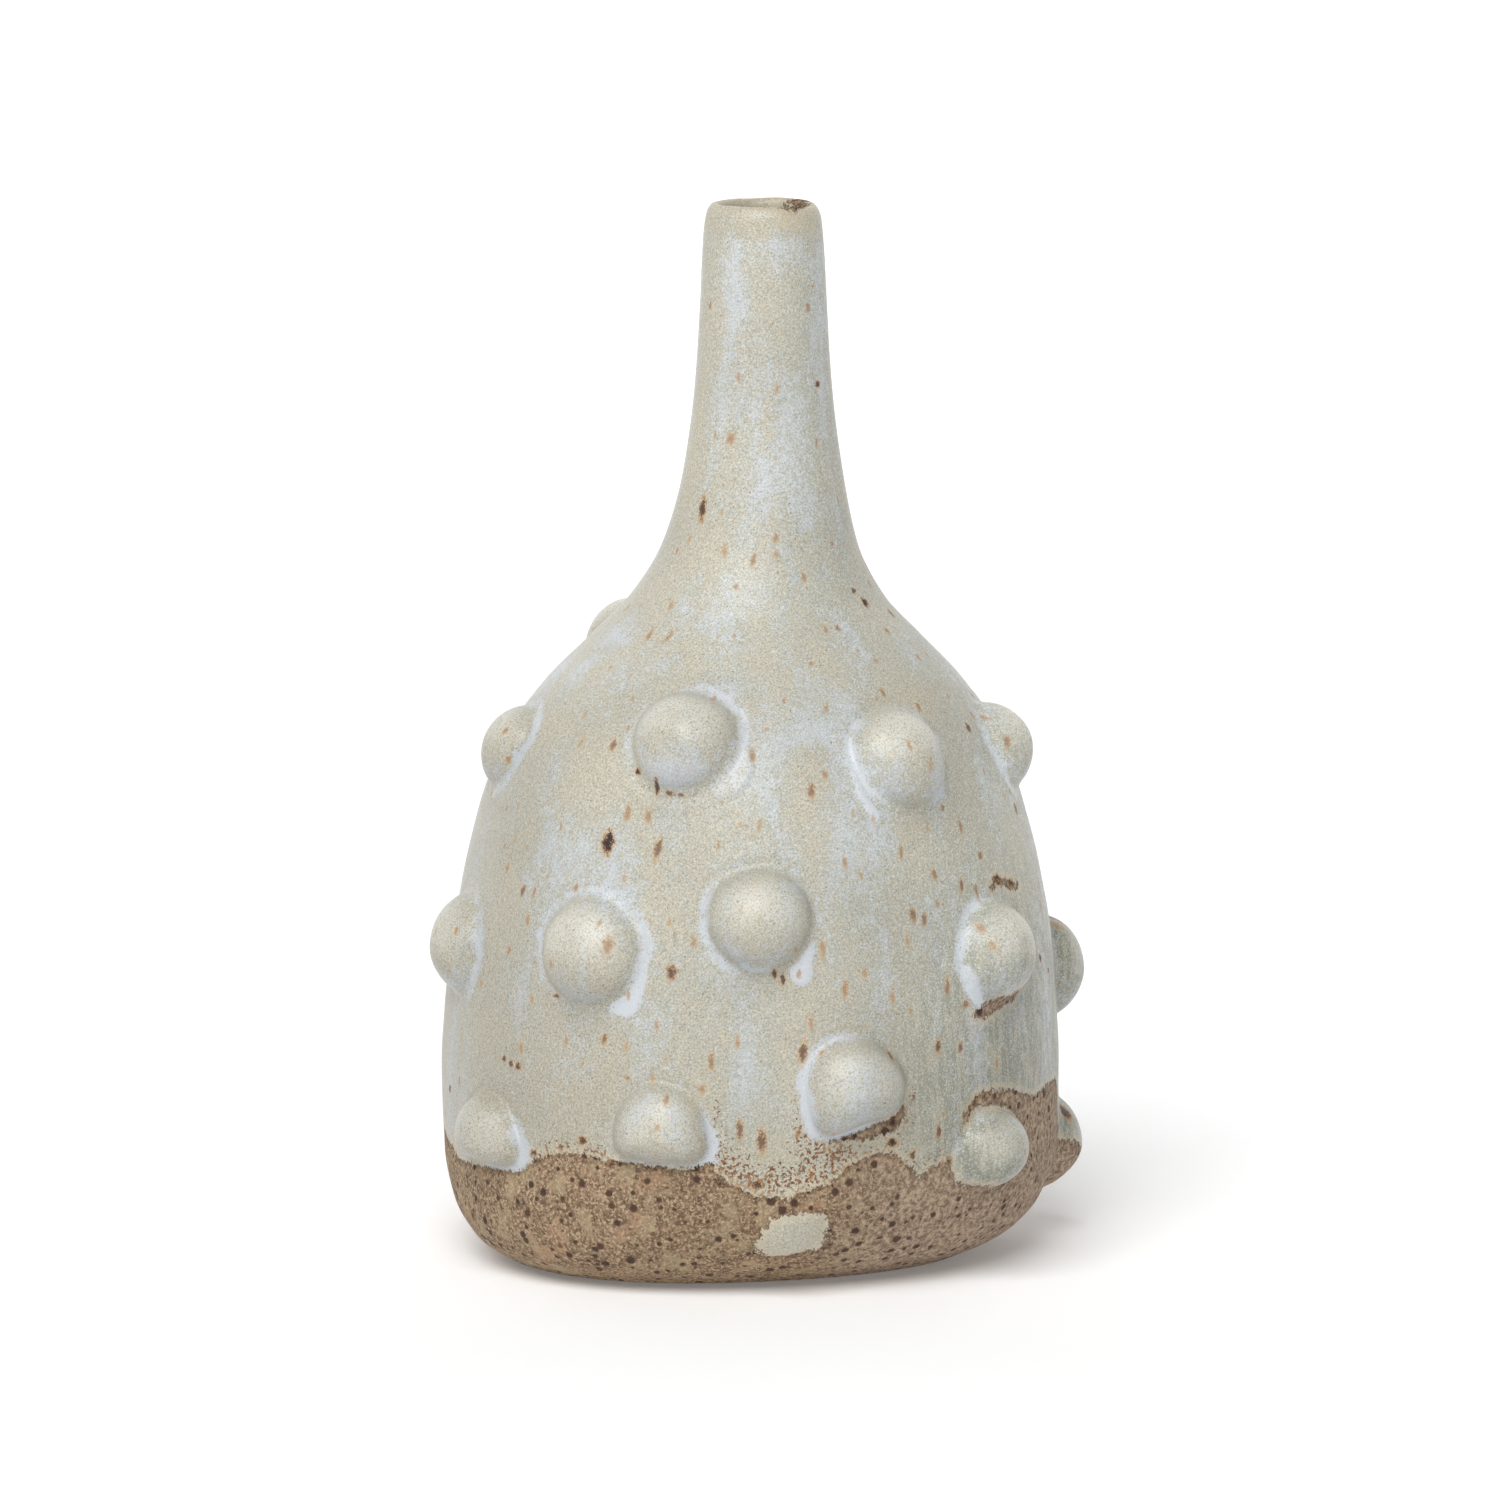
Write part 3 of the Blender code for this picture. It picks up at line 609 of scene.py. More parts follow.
# ------------------------------------------------------------------ meshes
def make_mesh(name, points, faces, normals=None, fields=None, smooth=True):
    """points (N,3) in millimetres, faces as an (M,4) array and/or (K,3) array."""
    mesh = bpy.data.meshes.new(name)
    quads = [f for f in faces if f.shape[1] == 4]
    tris = [f for f in faces if f.shape[1] == 3]
    loops = np.concatenate([f.ravel() for f in quads + tris]).astype(np.int32)
    sizes = np.concatenate([np.full(len(f), f.shape[1]) for f in quads + tris]).astype(np.int32)
    mesh.vertices.add(len(points))
    mesh.vertices.foreach_set("co", (np.asarray(points) * MM).astype(np.float32).ravel())
    mesh.loops.add(len(loops))
    mesh.loops.foreach_set("vertex_index", loops)
    mesh.polygons.add(len(sizes))
    mesh.polygons.foreach_set("loop_start", np.concatenate([[0], np.cumsum(sizes)[:-1]]).astype(np.int32))
    mesh.update(calc_edges=True)
    mesh.validate()
    if smooth:
        mesh.shade_smooth()
    for key, value in (fields or {}).items():
        value = np.asarray(value, np.float32)
        if value.ndim == 1:
            mesh.attributes.new(key, "FLOAT", "POINT").data.foreach_set("value", value)
        else:
            mesh.attributes.new(key, "FLOAT_VECTOR", "POINT").data.foreach_set("vector", value.ravel())
    if normals is not None:
        mesh.normals_split_custom_set_from_vertices(normals.tolist())
    obj = bpy.data.objects.new(name, mesh)
    bpy.context.scene.collection.objects.link(obj)
    return obj


def tube_faces(rows, cols, closed):
    """Quads of a grid of rows and cols that is round in cols, and in rows too if closed."""
    r = np.arange(rows if closed else rows - 1)
    c = np.arange(cols)
    rr, cc = np.meshgrid(r, c, indexing="ij")
    r2, c2 = (rr + 1) % rows, (cc + 1) % cols
    return np.stack([rr * cols + cc, rr * cols + c2, r2 * cols + c2, r2 * cols + cc], -1).reshape(-1, 4)


def grid_normals(p, closed_rows):
    along = np.roll(p, -1, 1) - np.roll(p, 1, 1)
    up = np.roll(p, -1, 0) - np.roll(p, 1, 0)
    if not closed_rows:
        up[0], up[-1] = p[1] - p[0], p[-1] - p[-2]
    n = np.cross(along, up)
    return n / np.maximum(np.linalg.norm(n, axis=-1, keepdims=True), 1e-9)


def painted_shade_and_drift(phi, z):
    """Painted shade and light on the glaze, with a slow random drift in its darkness: painted shade low down, on the
    neck's sides, on the belly's left and low right, under and beside the bobbles; painted light high up and on the
    right of the middle.
    """
    phi, z = np.broadcast_arrays(phi, z)
    deg = np.degrees(wrap(phi))
    # painted light higher up the pot and painted shade low down, plus a slow random drift in the glaze's darkness
    out = 0.30 * step(120, 165, z) - 0.22 * (1 - step(100, 150, z)) - 0.78 * (1 - step(20, 105, z)) + 0.30 * BROAD(form(phi, z) * 1.7)
    # painted shade down the neck's left and right sides, where the form turns away from the light
    painted_limb_shade = 0.9 * np.exp(-(((deg + 72) / 13.0) ** 2)) + 0.6 * np.exp(-(((deg - 74) / 13.0) ** 2))
    out = out - painted_limb_shade * step(128, 150, z)
    # painted light on the right of the middle belly
    out = out + 0.95 * step(24, 46, deg) * (1 - step(78, 100, deg)) * np.exp(-(((z - 86) / 26.0) ** 2))
    # painted shade on the left of the belly below the shoulder and low on its right
    out = out - 0.50 * step(25, 60, 4 - deg) * (1 - step(35, 75, z))
    out = out - 0.30 * step(30, 65, deg - 4) * (1 - step(30, 70, z)) - 0.65 * step(30, 70, 4 - deg) * (1 - step(95, 140, z))
    for name, (_, _, _, h) in BOBBLES.items():
        if h < 4:
            continue
        near, a, b = round_bobble(name, phi, z)
        # painted shade under each bobble
        u, v = a / 8.0, (b + fillet_radius(name)[2] + 1.2) / 3.2
        out[near] -= 0.75 * np.exp(-(u**2) - v**2)
        # painted shade in a crescent round the lower right of each bobble's foot, on the fillet
        reach = np.hypot(a, b)
        rim = reach / outline_factor(name, np.arctan2(b, a)) - fillet_radius(name)[2] + 1.7
        out[near] -= 0.85 * step(-0.3, 0.85, (0.6 * a - 0.8 * b) / (reach + 0.01)) * np.exp(-((rim / 1.5) ** 2))
    return out


def fields_at(phi, z, extra_pool=0.0, inside=None, crown_pale_and_highlight=0.0, painted_shade_and_tint=0.0, lip=None):
    phi, z = np.broadcast_arrays(phi, z)
    pool = np.clip(pooled(phi, z) + extra_pool, -1, 1.2)
    ring = gathered(phi, z)
    crown_pale_and_highlight = crown_pale_and_highlight + np.zeros(phi.shape)
    painted_shade_and_tint = np.clip(painted_shade_and_drift(phi, z) + painted_shade_and_tint, -1.5, 1.5)
    edge = glaze_edge(phi, z)
    thin = thinness(phi, z)
    tone = tones(phi, z)
    spots = spot_fields(phi, z)
    if inside is not None:
        pool = np.where(inside, -0.5, pool)
        ring = np.where(inside, 0.0, ring)
        # painted shade inside the vessel
        painted_shade_and_tint = np.where(inside, -0.6, painted_shade_and_tint)
        edge = np.where(inside, 6.0, edge)
        thin = np.where(inside, 0.45, thin)
        tone = np.where(inside, -0.5, tone)
        for v in spots:
            v[inside] = (9.0, 9.0, -8.0)
    if lip is not None:
        # over the lip the glaze is thin and beige, and breaks to brown along the inner edge
        deg = np.degrees(wrap(phi))
        worn = 0.45 + 0.55 * step(-10, 40, deg) * (1 - step(120, 170, deg)) + 0.25 * np.sin(np.radians(3 * deg + 40))
        edge = np.clip(edge, -6, 4.5) * (1 - lip) + lip * (1.8 - 1.9 * worn)
        pool = pool * (1 - lip) - 0.7 * lip
        tone = tone * (1 - lip) - 0.9 * lip
        # a darker beige tint over the lip, carried on the same attribute as the painted shade
        painted_shade_and_tint = painted_shade_and_tint - 0.35 * lip
    out = {"pool": pool.ravel(), "ring": ring.ravel(), "crown_pale_and_highlight": crown_pale_and_highlight.ravel(), "painted_shade_and_tint": painted_shade_and_tint.ravel(), "edge": edge.ravel(), "thin": thin.ravel(), "tone": tone.ravel()}
    for i, v in enumerate(spots):
        out["spot%d" % i] = v.reshape(-1, 3)
    return out


def ring_at(r, z, phi):
    """A ring of the turned form at a radius that isn't the outer one: shares the lean and lobes of the foot."""
    t = phi - math.pi / 2
    fade = math.exp(-((z / FOOT_FADE) ** 2))
    share = FOOT_BACK_SHARE + (1 - FOOT_BACK_SHARE) * step(-0.85, -0.1, np.cos(phi))
    a, b, c, d = FOOT_LOBES
    lobes = 1 + fade * share * (a * np.cos(2 * t) + b * np.sin(2 * t) + c * np.cos(3 * t) + d * np.sin(3 * t))
    return np.stack(
        [through(AXIS_LEAN, z) + r * lobes * np.cos(t), r * lobes * np.sin(t) + fade * FOOT_SHIFT_Y, np.full(phi.shape, z)], -1
    )


def smooth_run(points, per_mm=1.2):
    """A Catmull-Rom run through (r, z) points."""
    p = np.array(points, float)
    q = np.vstack([2 * p[0] - p[1], p, 2 * p[-1] - p[-2]])
    out = []
    for i in range(1, len(q) - 2):
        n = max(2, int(np.linalg.norm(q[i + 1] - q[i]) * per_mm))
        t = np.linspace(0, 1, n, endpoint=False)[:, None]
        out.append(
            0.5
            * (
                2 * q[i]
                + (-q[i - 1] + q[i + 1]) * t
                + (2 * q[i - 1] - 5 * q[i] + 4 * q[i + 1] - q[i + 2]) * t**2
                + (-q[i - 1] + 3 * q[i] - 3 * q[i + 1] + q[i + 2]) * t**3
            )
        )
    out.append(q[-2:-1])
    return np.concatenate(out)


def radial_inner(z, thickness):
    e = 0.3
    lo, hi = max(z - e, 0.0), min(z + e, 216.0)
    dr = float(through(PROFILE, hi) - through(PROFILE, lo))
    n = np.array([hi - lo, -dr])
    n /= np.linalg.norm(n)
    return float(through(PROFILE, z)) - thickness * n[0], z - thickness * n[1]


PIECES = []


def show(obj, node, mat):
    obj.data.materials.append(mat)
    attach(obj, "root")
    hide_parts(node)
    PIECES.append(obj)


def belly_wall(mat):
    cols = 432
    phi = np.linspace(-math.pi, math.pi, cols, endpoint=False)
    s0, s1 = float(arc(2.2)), float(arc(JOINT_Z))
    zs = height_at(np.linspace(s0, s1, 168))
    outer = skin(phi[None, :], zs[:, None])
    outer_n = form_normal(phi[None, :], zs[:, None], skin)
    # inner face, from the joint down to the slab, round the foot and back out
    inner_rz = [radial_inner(JOINT_Z, 4.5)]
    inner_rz += [radial_inner(z, 4.8) for z in (127.0, 118.0, 106.0, 92.0, 75.0, 55.0, 36.0, 20.0)]
    inner_rz += [(54.0, 10.5), (49.5, 7.4), (41.3, 6.6)]
    inner_rz = smooth_run(inner_rz, 0.10)
    foot_rz = smooth_run([(41.3, 6.5), (42.6, 3.0), (43.1, 1.15), (44.3, 0.72), (46.8, 0.68), (49.2, 1.15), (50.6, 2.0)], 2.2)[:-1]
    rest = [ring_at(r, z, phi) for r, z in np.vstack([inner_rz, foot_rz])]
    grid = np.concatenate([outer, np.array(rest)])
    normals = grid_normals(grid, True)
    normals[: len(zs)] = outer_n
    rows = len(grid)
    zz = np.concatenate([zs, np.vstack([inner_rz, foot_rz])[:, 1]])
    inside = np.zeros((rows, cols), bool)
    inside[len(zs) : len(zs) + len(inner_rz)] = True
    fields = fields_at(phi[None, :] + 0 * zz[:, None], zz[:, None] + 0 * phi[None, :], inside=inside)
    obj = make_mesh("belly_wall_glazed", grid.reshape(-1, 3), [tube_faces(rows, cols, True)], normals.reshape(-1, 3), fields)
    show(obj, "belly_wall", mat)


def neck(mat):
    cols = 216
    phi = np.linspace(-math.pi, math.pi, cols, endpoint=False)
    s0, s1 = float(arc(JOINT_Z)), float(arc(211.8))
    zs = height_at(np.linspace(s0, s1, 110))
    outer = skin(phi[None, :], zs[:, None])
    outer_n = form_normal(phi[None, :], zs[:, None], skin)
    lip = smooth_run([(12.02, 211.8), (11.82, 213.2), (11.35, 214.55), (10.55, 215.5), (9.6, 215.62), (8.85, 214.9), (8.5, 213.6), (8.35, 211.8)], 5.0)[1:]
    bore = smooth_run(
        [(8.35, 211.8), (8.45, 206.0), (8.8, 195.0), radial_inner(178.0, 4.1), radial_inner(160.0, 4.3), radial_inner(146.0, 4.3), radial_inner(JOINT_Z, 4.5)],
        0.5,
    )[1:]
    rz = np.vstack([lip, bore])
    tilt = lambda z: step(200.0, 215.0, z) * (0.28 * np.cos(phi + 2.4) + 0.16 * np.cos(2 * phi + 0.7) + 0.10 * np.sin(3 * phi + 1.0) + 0.05 * np.sin(7 * phi))
    thick = lambda z: 1 + step(195.0, 214.0, z) * (0.012 * np.cos(2 * phi + 1.1) + 0.010 * np.sin(3 * phi + 0.3))
    rest = []
    for r, z in rz:
        ring = ring_at(r * (thick(z) if z > 195 else 1.0), z, phi)
        ring[:, 2] += tilt(z)
        rest.append(ring)
    grid = np.concatenate([outer, np.array(rest)])
    lifted = zs > 199.0
    for i in np.nonzero(lifted)[0]:
        centre = np.array([float(through(AXIS_LEAN, zs[i])), 0.0])
        grid[i, :, :2] = centre + (grid[i, :, :2] - centre) * thick(zs[i])[:, None]
        grid[i, :, 2] += tilt(zs[i])
    normals = grid_normals(grid, True)
    normals[: len(zs) - 12] = outer_n[: len(zs) - 12]
    zz = np.concatenate([zs, rz[:, 1]])
    rows = len(grid)
    inside = np.zeros((rows, cols), bool)
    inside[len(zs) + len(lip) - 6 :] = True
    over = np.zeros(rows)
    n_lip = len(lip)
    over[: len(zs)] = 0.72 * step(208.4, 211.6, zz[: len(zs)])
    along = np.linspace(0, 1, n_lip)
    over[len(zs) : len(zs) + n_lip] = 0.72 + 0.28 * step(0.20, 0.55, along)
    over[len(zs) + n_lip :] = 1 - step(0, 9, np.arange(rows - len(zs) - n_lip))
    fields = fields_at(phi[None, :] + 0 * zz[:, None], zz[:, None] + 0 * phi[None, :], inside=inside, lip=over[:, None] + 0 * phi[None, :])
    obj = make_mesh("neck_glazed", grid.reshape(-1, 3), [tube_faces(rows, cols, True)], normals.reshape(-1, 3), fields)
    show(obj, "neck", mat)


def base_slab(mat):
    cols = 160
    phi = np.linspace(-math.pi, math.pi, cols, endpoint=False)
    rz = smooth_run([(0.9, 0.05), (12.0, 0.06), (28.0, 0.03), (38.0, 0.0), (41.2, 0.0), (42.4, 0.22), (42.85, 0.8), (42.4, 3.0), (41.1, 6.2), (40.2, 6.55), (30.0, 6.5), (12.0, 6.5), (0.9, 6.5)], 0.7)
    grid = np.array([ring_at(r, z, phi) for r, z in rz])
    wave = waves(19, 16.0)(grid) * 0.05 + waves(23, 5.0)(grid) * 0.02
    grid[..., 2] = np.maximum(grid[..., 2] + wave * (rz[:, 0] < 41)[:, None] * (rz[:, 1] < 1)[:, None], 0.0)
    rows = len(grid)
    flat_pts = grid.reshape(-1, 3)
    low, high = grid[0].mean(0), grid[-1].mean(0)
    pts = np.vstack([flat_pts, low, high])
    n = rows * cols
    c = np.arange(cols)
    bottom = np.stack([np.full(cols, n), (c + 1) % cols, c], -1)
    top = np.stack([np.full(cols, n + 1), (rows - 1) * cols + c, (rows - 1) * cols + (c + 1) % cols], -1)
    count = len(pts)
    fields = {"pool": np.zeros(count), "ring": np.zeros(count), "crown_pale_and_highlight": np.zeros(count), "painted_shade_and_tint": np.zeros(count), "edge": np.full(count, -20.0), "thin": np.zeros(count), "tone": np.full(count, -0.2)}
    fields["edge"][pts[:, 2] > 4.5] = 6.0
    for i in range(4):
        fields["spot%d" % i] = np.tile([9.0, 9.0, -8.0], (count, 1))
    obj = make_mesh("base_slab_bare", pts, [tube_faces(rows, cols, False), bottom, top], None, fields)
    show(obj, "base_slab", mat)


def bobble(name, spec, mat):
    deg, z0, a0, h0 = spec
    g = GATHER[name]
    seed = sum(ord(c) * (i + 3) for i, c in enumerate(name))
    rng = np.random.RandomState(seed)
    phi0 = math.radians(deg)
    ball, f, foot = fillet_radius(name)
    low_dab = h0 < 4
    alpha = math.atan2(foot, f - (h0 - ball))
    reach = foot + (5.6 if g.get("runs") else 4.2) + (0 if not low_dab else -1.2)
    # one radial section: dome, fillet, skirt
    t = np.linspace(0, 1, 30)[1:] * alpha
    dome = np.stack([ball * np.sin(t), h0 - ball + ball * np.cos(t)], -1)
    # the fillet's centre is at (foot, f); it runs from the dome's end to straight below the centre
    t = np.linspace(0, 1, 11)[1:]
    start = math.atan2(dome[-1, 1] - f, dome[-1, 0] - foot) % (2 * math.pi)
    ang = start + (1.5 * math.pi - start) * t
    fil = np.stack([foot + f * np.cos(ang), f + f * np.sin(ang)], -1)
    skirt_r = foot + (reach - foot) * np.linspace(0, 1, 15)[1:]
    section = np.vstack([dome, fil, np.stack([skirt_r, 0 * skirt_r], -1)])
    rho, lift = section[:, 0], np.maximum(section[:, 1], 0)
    cols = 108
    theta = np.linspace(0, 2 * math.pi, cols, endpoint=False)
    p2, p3, p5 = rng.uniform(0, 2 * math.pi, 3)
    shape = 1 + 0.016 * np.cos(2 * theta + p2) + 0.012 * np.cos(3 * theta + p3) + 0.005 * np.cos(5 * theta + p5)
    shape = shape * outline_factor(name, theta)
    inner = np.minimum(rho, foot)[:, None] * shape[None, :]
    outer = (np.maximum(rho - foot, 0) / (reach - foot))[:, None] * (reach - foot * shape)[None, :]
    a = (inner + outer) * np.cos(theta)[None, :]
    b = (inner + outer) * np.sin(theta)[None, :]
    z = height_at(np.clip(float(arc(z0)) + b, 0.3, _S[-1]))
    r = through(PROFILE, z)
    phi = phi0 + a / r
    under = skin(phi, z)
    local_n = form_normal(phi, z, skin)
    centre_n = form_normal(np.array([phi0]), np.array([z0]), form)[0]
    blend = (step(0.0, foot, rho) ** 1.3)[:, None, None]
    n = centre_n * (1 - blend) + local_n * blend
    n /= np.linalg.norm(n, axis=-1, keepdims=True)
    lump = waves(seed % 997, 11.0)(under + 40.0)
    up = lift[:, None] * (1 + 0.022 * lump)
    edge_fade = (1 - step(reach - 2.4, reach - 0.2, rho))[:, None]
    relief = gathered(phi, z, relief=True) * edge_fade
    # the clay pushed up in a soft collar where the ball was smoothed on
    collar = 0.22 * np.exp(-(((rho - foot - 1.2) / 1.6) ** 2))[:, None] * (0.6 + 0.4 * np.sin(theta * 2 + p3))[None, :] * edge_fade
    top = under + n * (up + 0.022 + relief + (0 if low_dab else 1) * collar)[..., None]
    apex_under = skin(np.array([phi0]), np.array([z0]))[0]
    apex = apex_under + centre_n * (h0 * (1 + 0.022 * float(waves(seed % 997, 11.0)(apex_under + 40.0))) + 0.022)
    rows = len(rho)
    nrm = grid_normals(top, False)
    flip = np.sign((nrm * n).sum(-1, keepdims=True))
    nrm = nrm * np.where(flip == 0, 1, flip)
    w = step(reach - 1.6, reach - 0.1, rho)[:, None, None]
    nrm = nrm * (1 - w) + local_n * w
    nrm /= np.linalg.norm(nrm, axis=-1, keepdims=True)
    # underside: follows the wall 1.2 mm down, so the piece is one closed body sunk in the wall
    keep_rows = list(range(rows - 1, 6, -6))
    sunk = under[keep_rows] - local_n[keep_rows] * 1.2
    edge_row = under[-1] - local_n[-1] * 0.6
    pts = np.vstack([apex[None], top.reshape(-1, 3), edge_row, sunk.reshape(-1, 3), (apex_under - centre_n * 1.2)[None]])
    c = np.arange(cols)
    cap = np.stack([np.zeros(cols, int), 1 + c, 1 + (c + 1) % cols], -1)
    rings = rows + 1 + len(keep_rows)
    rr, cc = np.meshgrid(np.arange(rings - 1), c, indexing="ij")
    c2 = (cc + 1) % cols
    quads = np.stack([1 + rr * cols + cc, 1 + (rr + 1) * cols + cc, 1 + (rr + 1) * cols + c2, 1 + rr * cols + c2], -1).reshape(-1, 4)
    last = 1 + (rings - 1) * cols
    end = np.stack([last + c, np.full(cols, 1 + rings * cols), last + (c + 1) % cols], -1)
    normals = np.vstack([centre_n[None], nrm.reshape(-1, 3), local_n[-1], -local_n[keep_rows].reshape(-1, 3), -centre_n[None]])
    # glaze on the dome: thin and pale on its crown, with a painted highlight there too, and bluish towards its
    # underside, which painted shade makes greyer
    on = step(0.4, 2.6, up) * (not low_dab)
    lower = step(0.05, 0.95, -b / a0)
    extra = on * ((0.30 + 1.0 * g.get("lower", 0)) * lower - 0.15 * (1 - lower))
    crown = on * step(0.25, 0.95, up / h0) * step(-0.45, 0.55, b / a0 + 0.12 * np.cos(2 * theta)[None, :])
    # pale: white glaze over the crown, partly a painted highlight
    extra = extra - (0.4 if low_dab else 0.0) + g.get("pale", 0) * crown
    # painted light on the dome's crown and painted shade on its underside; painted light on the low dab, against the
    # painted shade low on the pot
    f_top = fields_at(phi, z, extra_pool=extra, crown_pale_and_highlight=crown, painted_shade_and_tint=on * (0.25 * crown - 1.15 * lower) + (0.7 if low_dab else 0.0))
    fields = {}
    for key, value in f_top.items():
        first = value[0:1] if value.ndim == 1 else value[0:1]
        if key.startswith("spot"):
            apex_v = np.array([[9.0, 9.0, -8.0]])
            fill = np.tile([9.0, 9.0, -8.0], (len(pts) - 1 - rows * cols, 1))
        else:
            apex_v = value[:cols].mean(keepdims=True)
            fill = np.full(len(pts) - 1 - rows * cols, float(value[-1]))
        fields[key] = np.concatenate([apex_v, value, fill])
    obj = make_mesh(name + "_glazed", pts, [cap, quads, end], normals, fields)
    show(obj, name, mat)


# ------------------------------------------------------------------ material
def srgb(r, g, b):
    def lin(v):
        v /= 255.0
        return v / 12.92 if v <= 0.04045 else ((v + 0.055) / 1.055) ** 2.4

    return (lin(r), lin(g), lin(b), 1.0)


class Graph:
    """Short names for building a shader."""

    def __init__(self, tree):
        self.tree = tree

    def node(self, kind, **settings):
        n = self.tree.nodes.new(kind)
        for key, value in settings.items():
            setattr(n, key, value)
        return n

    def put(self, socket, value):
        if isinstance(value, bpy.types.NodeSocket):
            self.tree.links.new(value, socket)
        elif value is not None:
            socket.default_value = value

    def math(self, op, a, b=None, c=None, clamp=False):
        n = self.node("ShaderNodeMath", operation=op, use_clamp=clamp)
        self.put(n.inputs[0], a)
        self.put(n.inputs[1], b)
        self.put(n.inputs[2], c)
        return n.outputs[0]

    def add(self, *v):
        out = v[0]
        for x in v[1:]:
            out = self.math("ADD", out, x)
        return out

    def mul(self, *v):
        out = v[0]
        for x in v[1:]:
            out = self.math("MULTIPLY", out, x)
        return out

    def smooth(self, x, lo, hi, a=0.0, b=1.0):
        n = self.node("ShaderNodeMapRange", interpolation_type="SMOOTHSTEP")
        for i, v in enumerate((x, lo, hi, a, b)):
            self.put(n.inputs[i], v)
        return n.outputs[0]

    def mix(self, fac, a, b):
        n = self.node("ShaderNodeMix", data_type="RGBA")
        self.put(n.inputs[0], fac)
        self.put(n.inputs[6], a)
        self.put(n.inputs[7], b)
        return n.outputs[2]

    def tint(self, fac, a, b):
        n = self.node("ShaderNodeMix", data_type="RGBA", blend_type="MULTIPLY")
        self.put(n.inputs[0], fac)
        self.put(n.inputs[6], a)
        self.put(n.inputs[7], b)
        return n.outputs[2]

    def noise(self, vec, scale, detail=2.0, rough=0.5, warp=0.0):
        n = self.node("ShaderNodeTexNoise")
        self.put(n.inputs["Vector"], vec)
        n.inputs["Scale"].default_value = scale
        n.inputs["Detail"].default_value = detail
        n.inputs["Roughness"].default_value = rough
        n.inputs["Distortion"].default_value = warp
        return n.outputs["Fac"]

    def cells(self, vec, scale, feature="F1"):
        n = self.node("ShaderNodeTexVoronoi", feature=feature)
        self.put(n.inputs["Vector"], vec)
        n.inputs["Scale"].default_value = scale
        s = self.node("ShaderNodeSeparateColor")
        self.put(s.inputs[0], n.outputs["Color"])
        return n.outputs["Distance"], s.outputs[0], s.outputs[1]

    def attr(self, name, out="Fac"):
        return self.node("ShaderNodeAttribute", attribute_name=name).outputs[out]

    def scaled(self, vec, scale):
        n = self.node("ShaderNodeVectorMath", operation="MULTIPLY")
        self.put(n.inputs[0], vec)
        n.inputs[1].default_value = scale
        return n.outputs[0]

    def split(self, vec):
        n = self.node("ShaderNodeSeparateXYZ")
        self.put(n.inputs[0], vec)
        return n.outputs


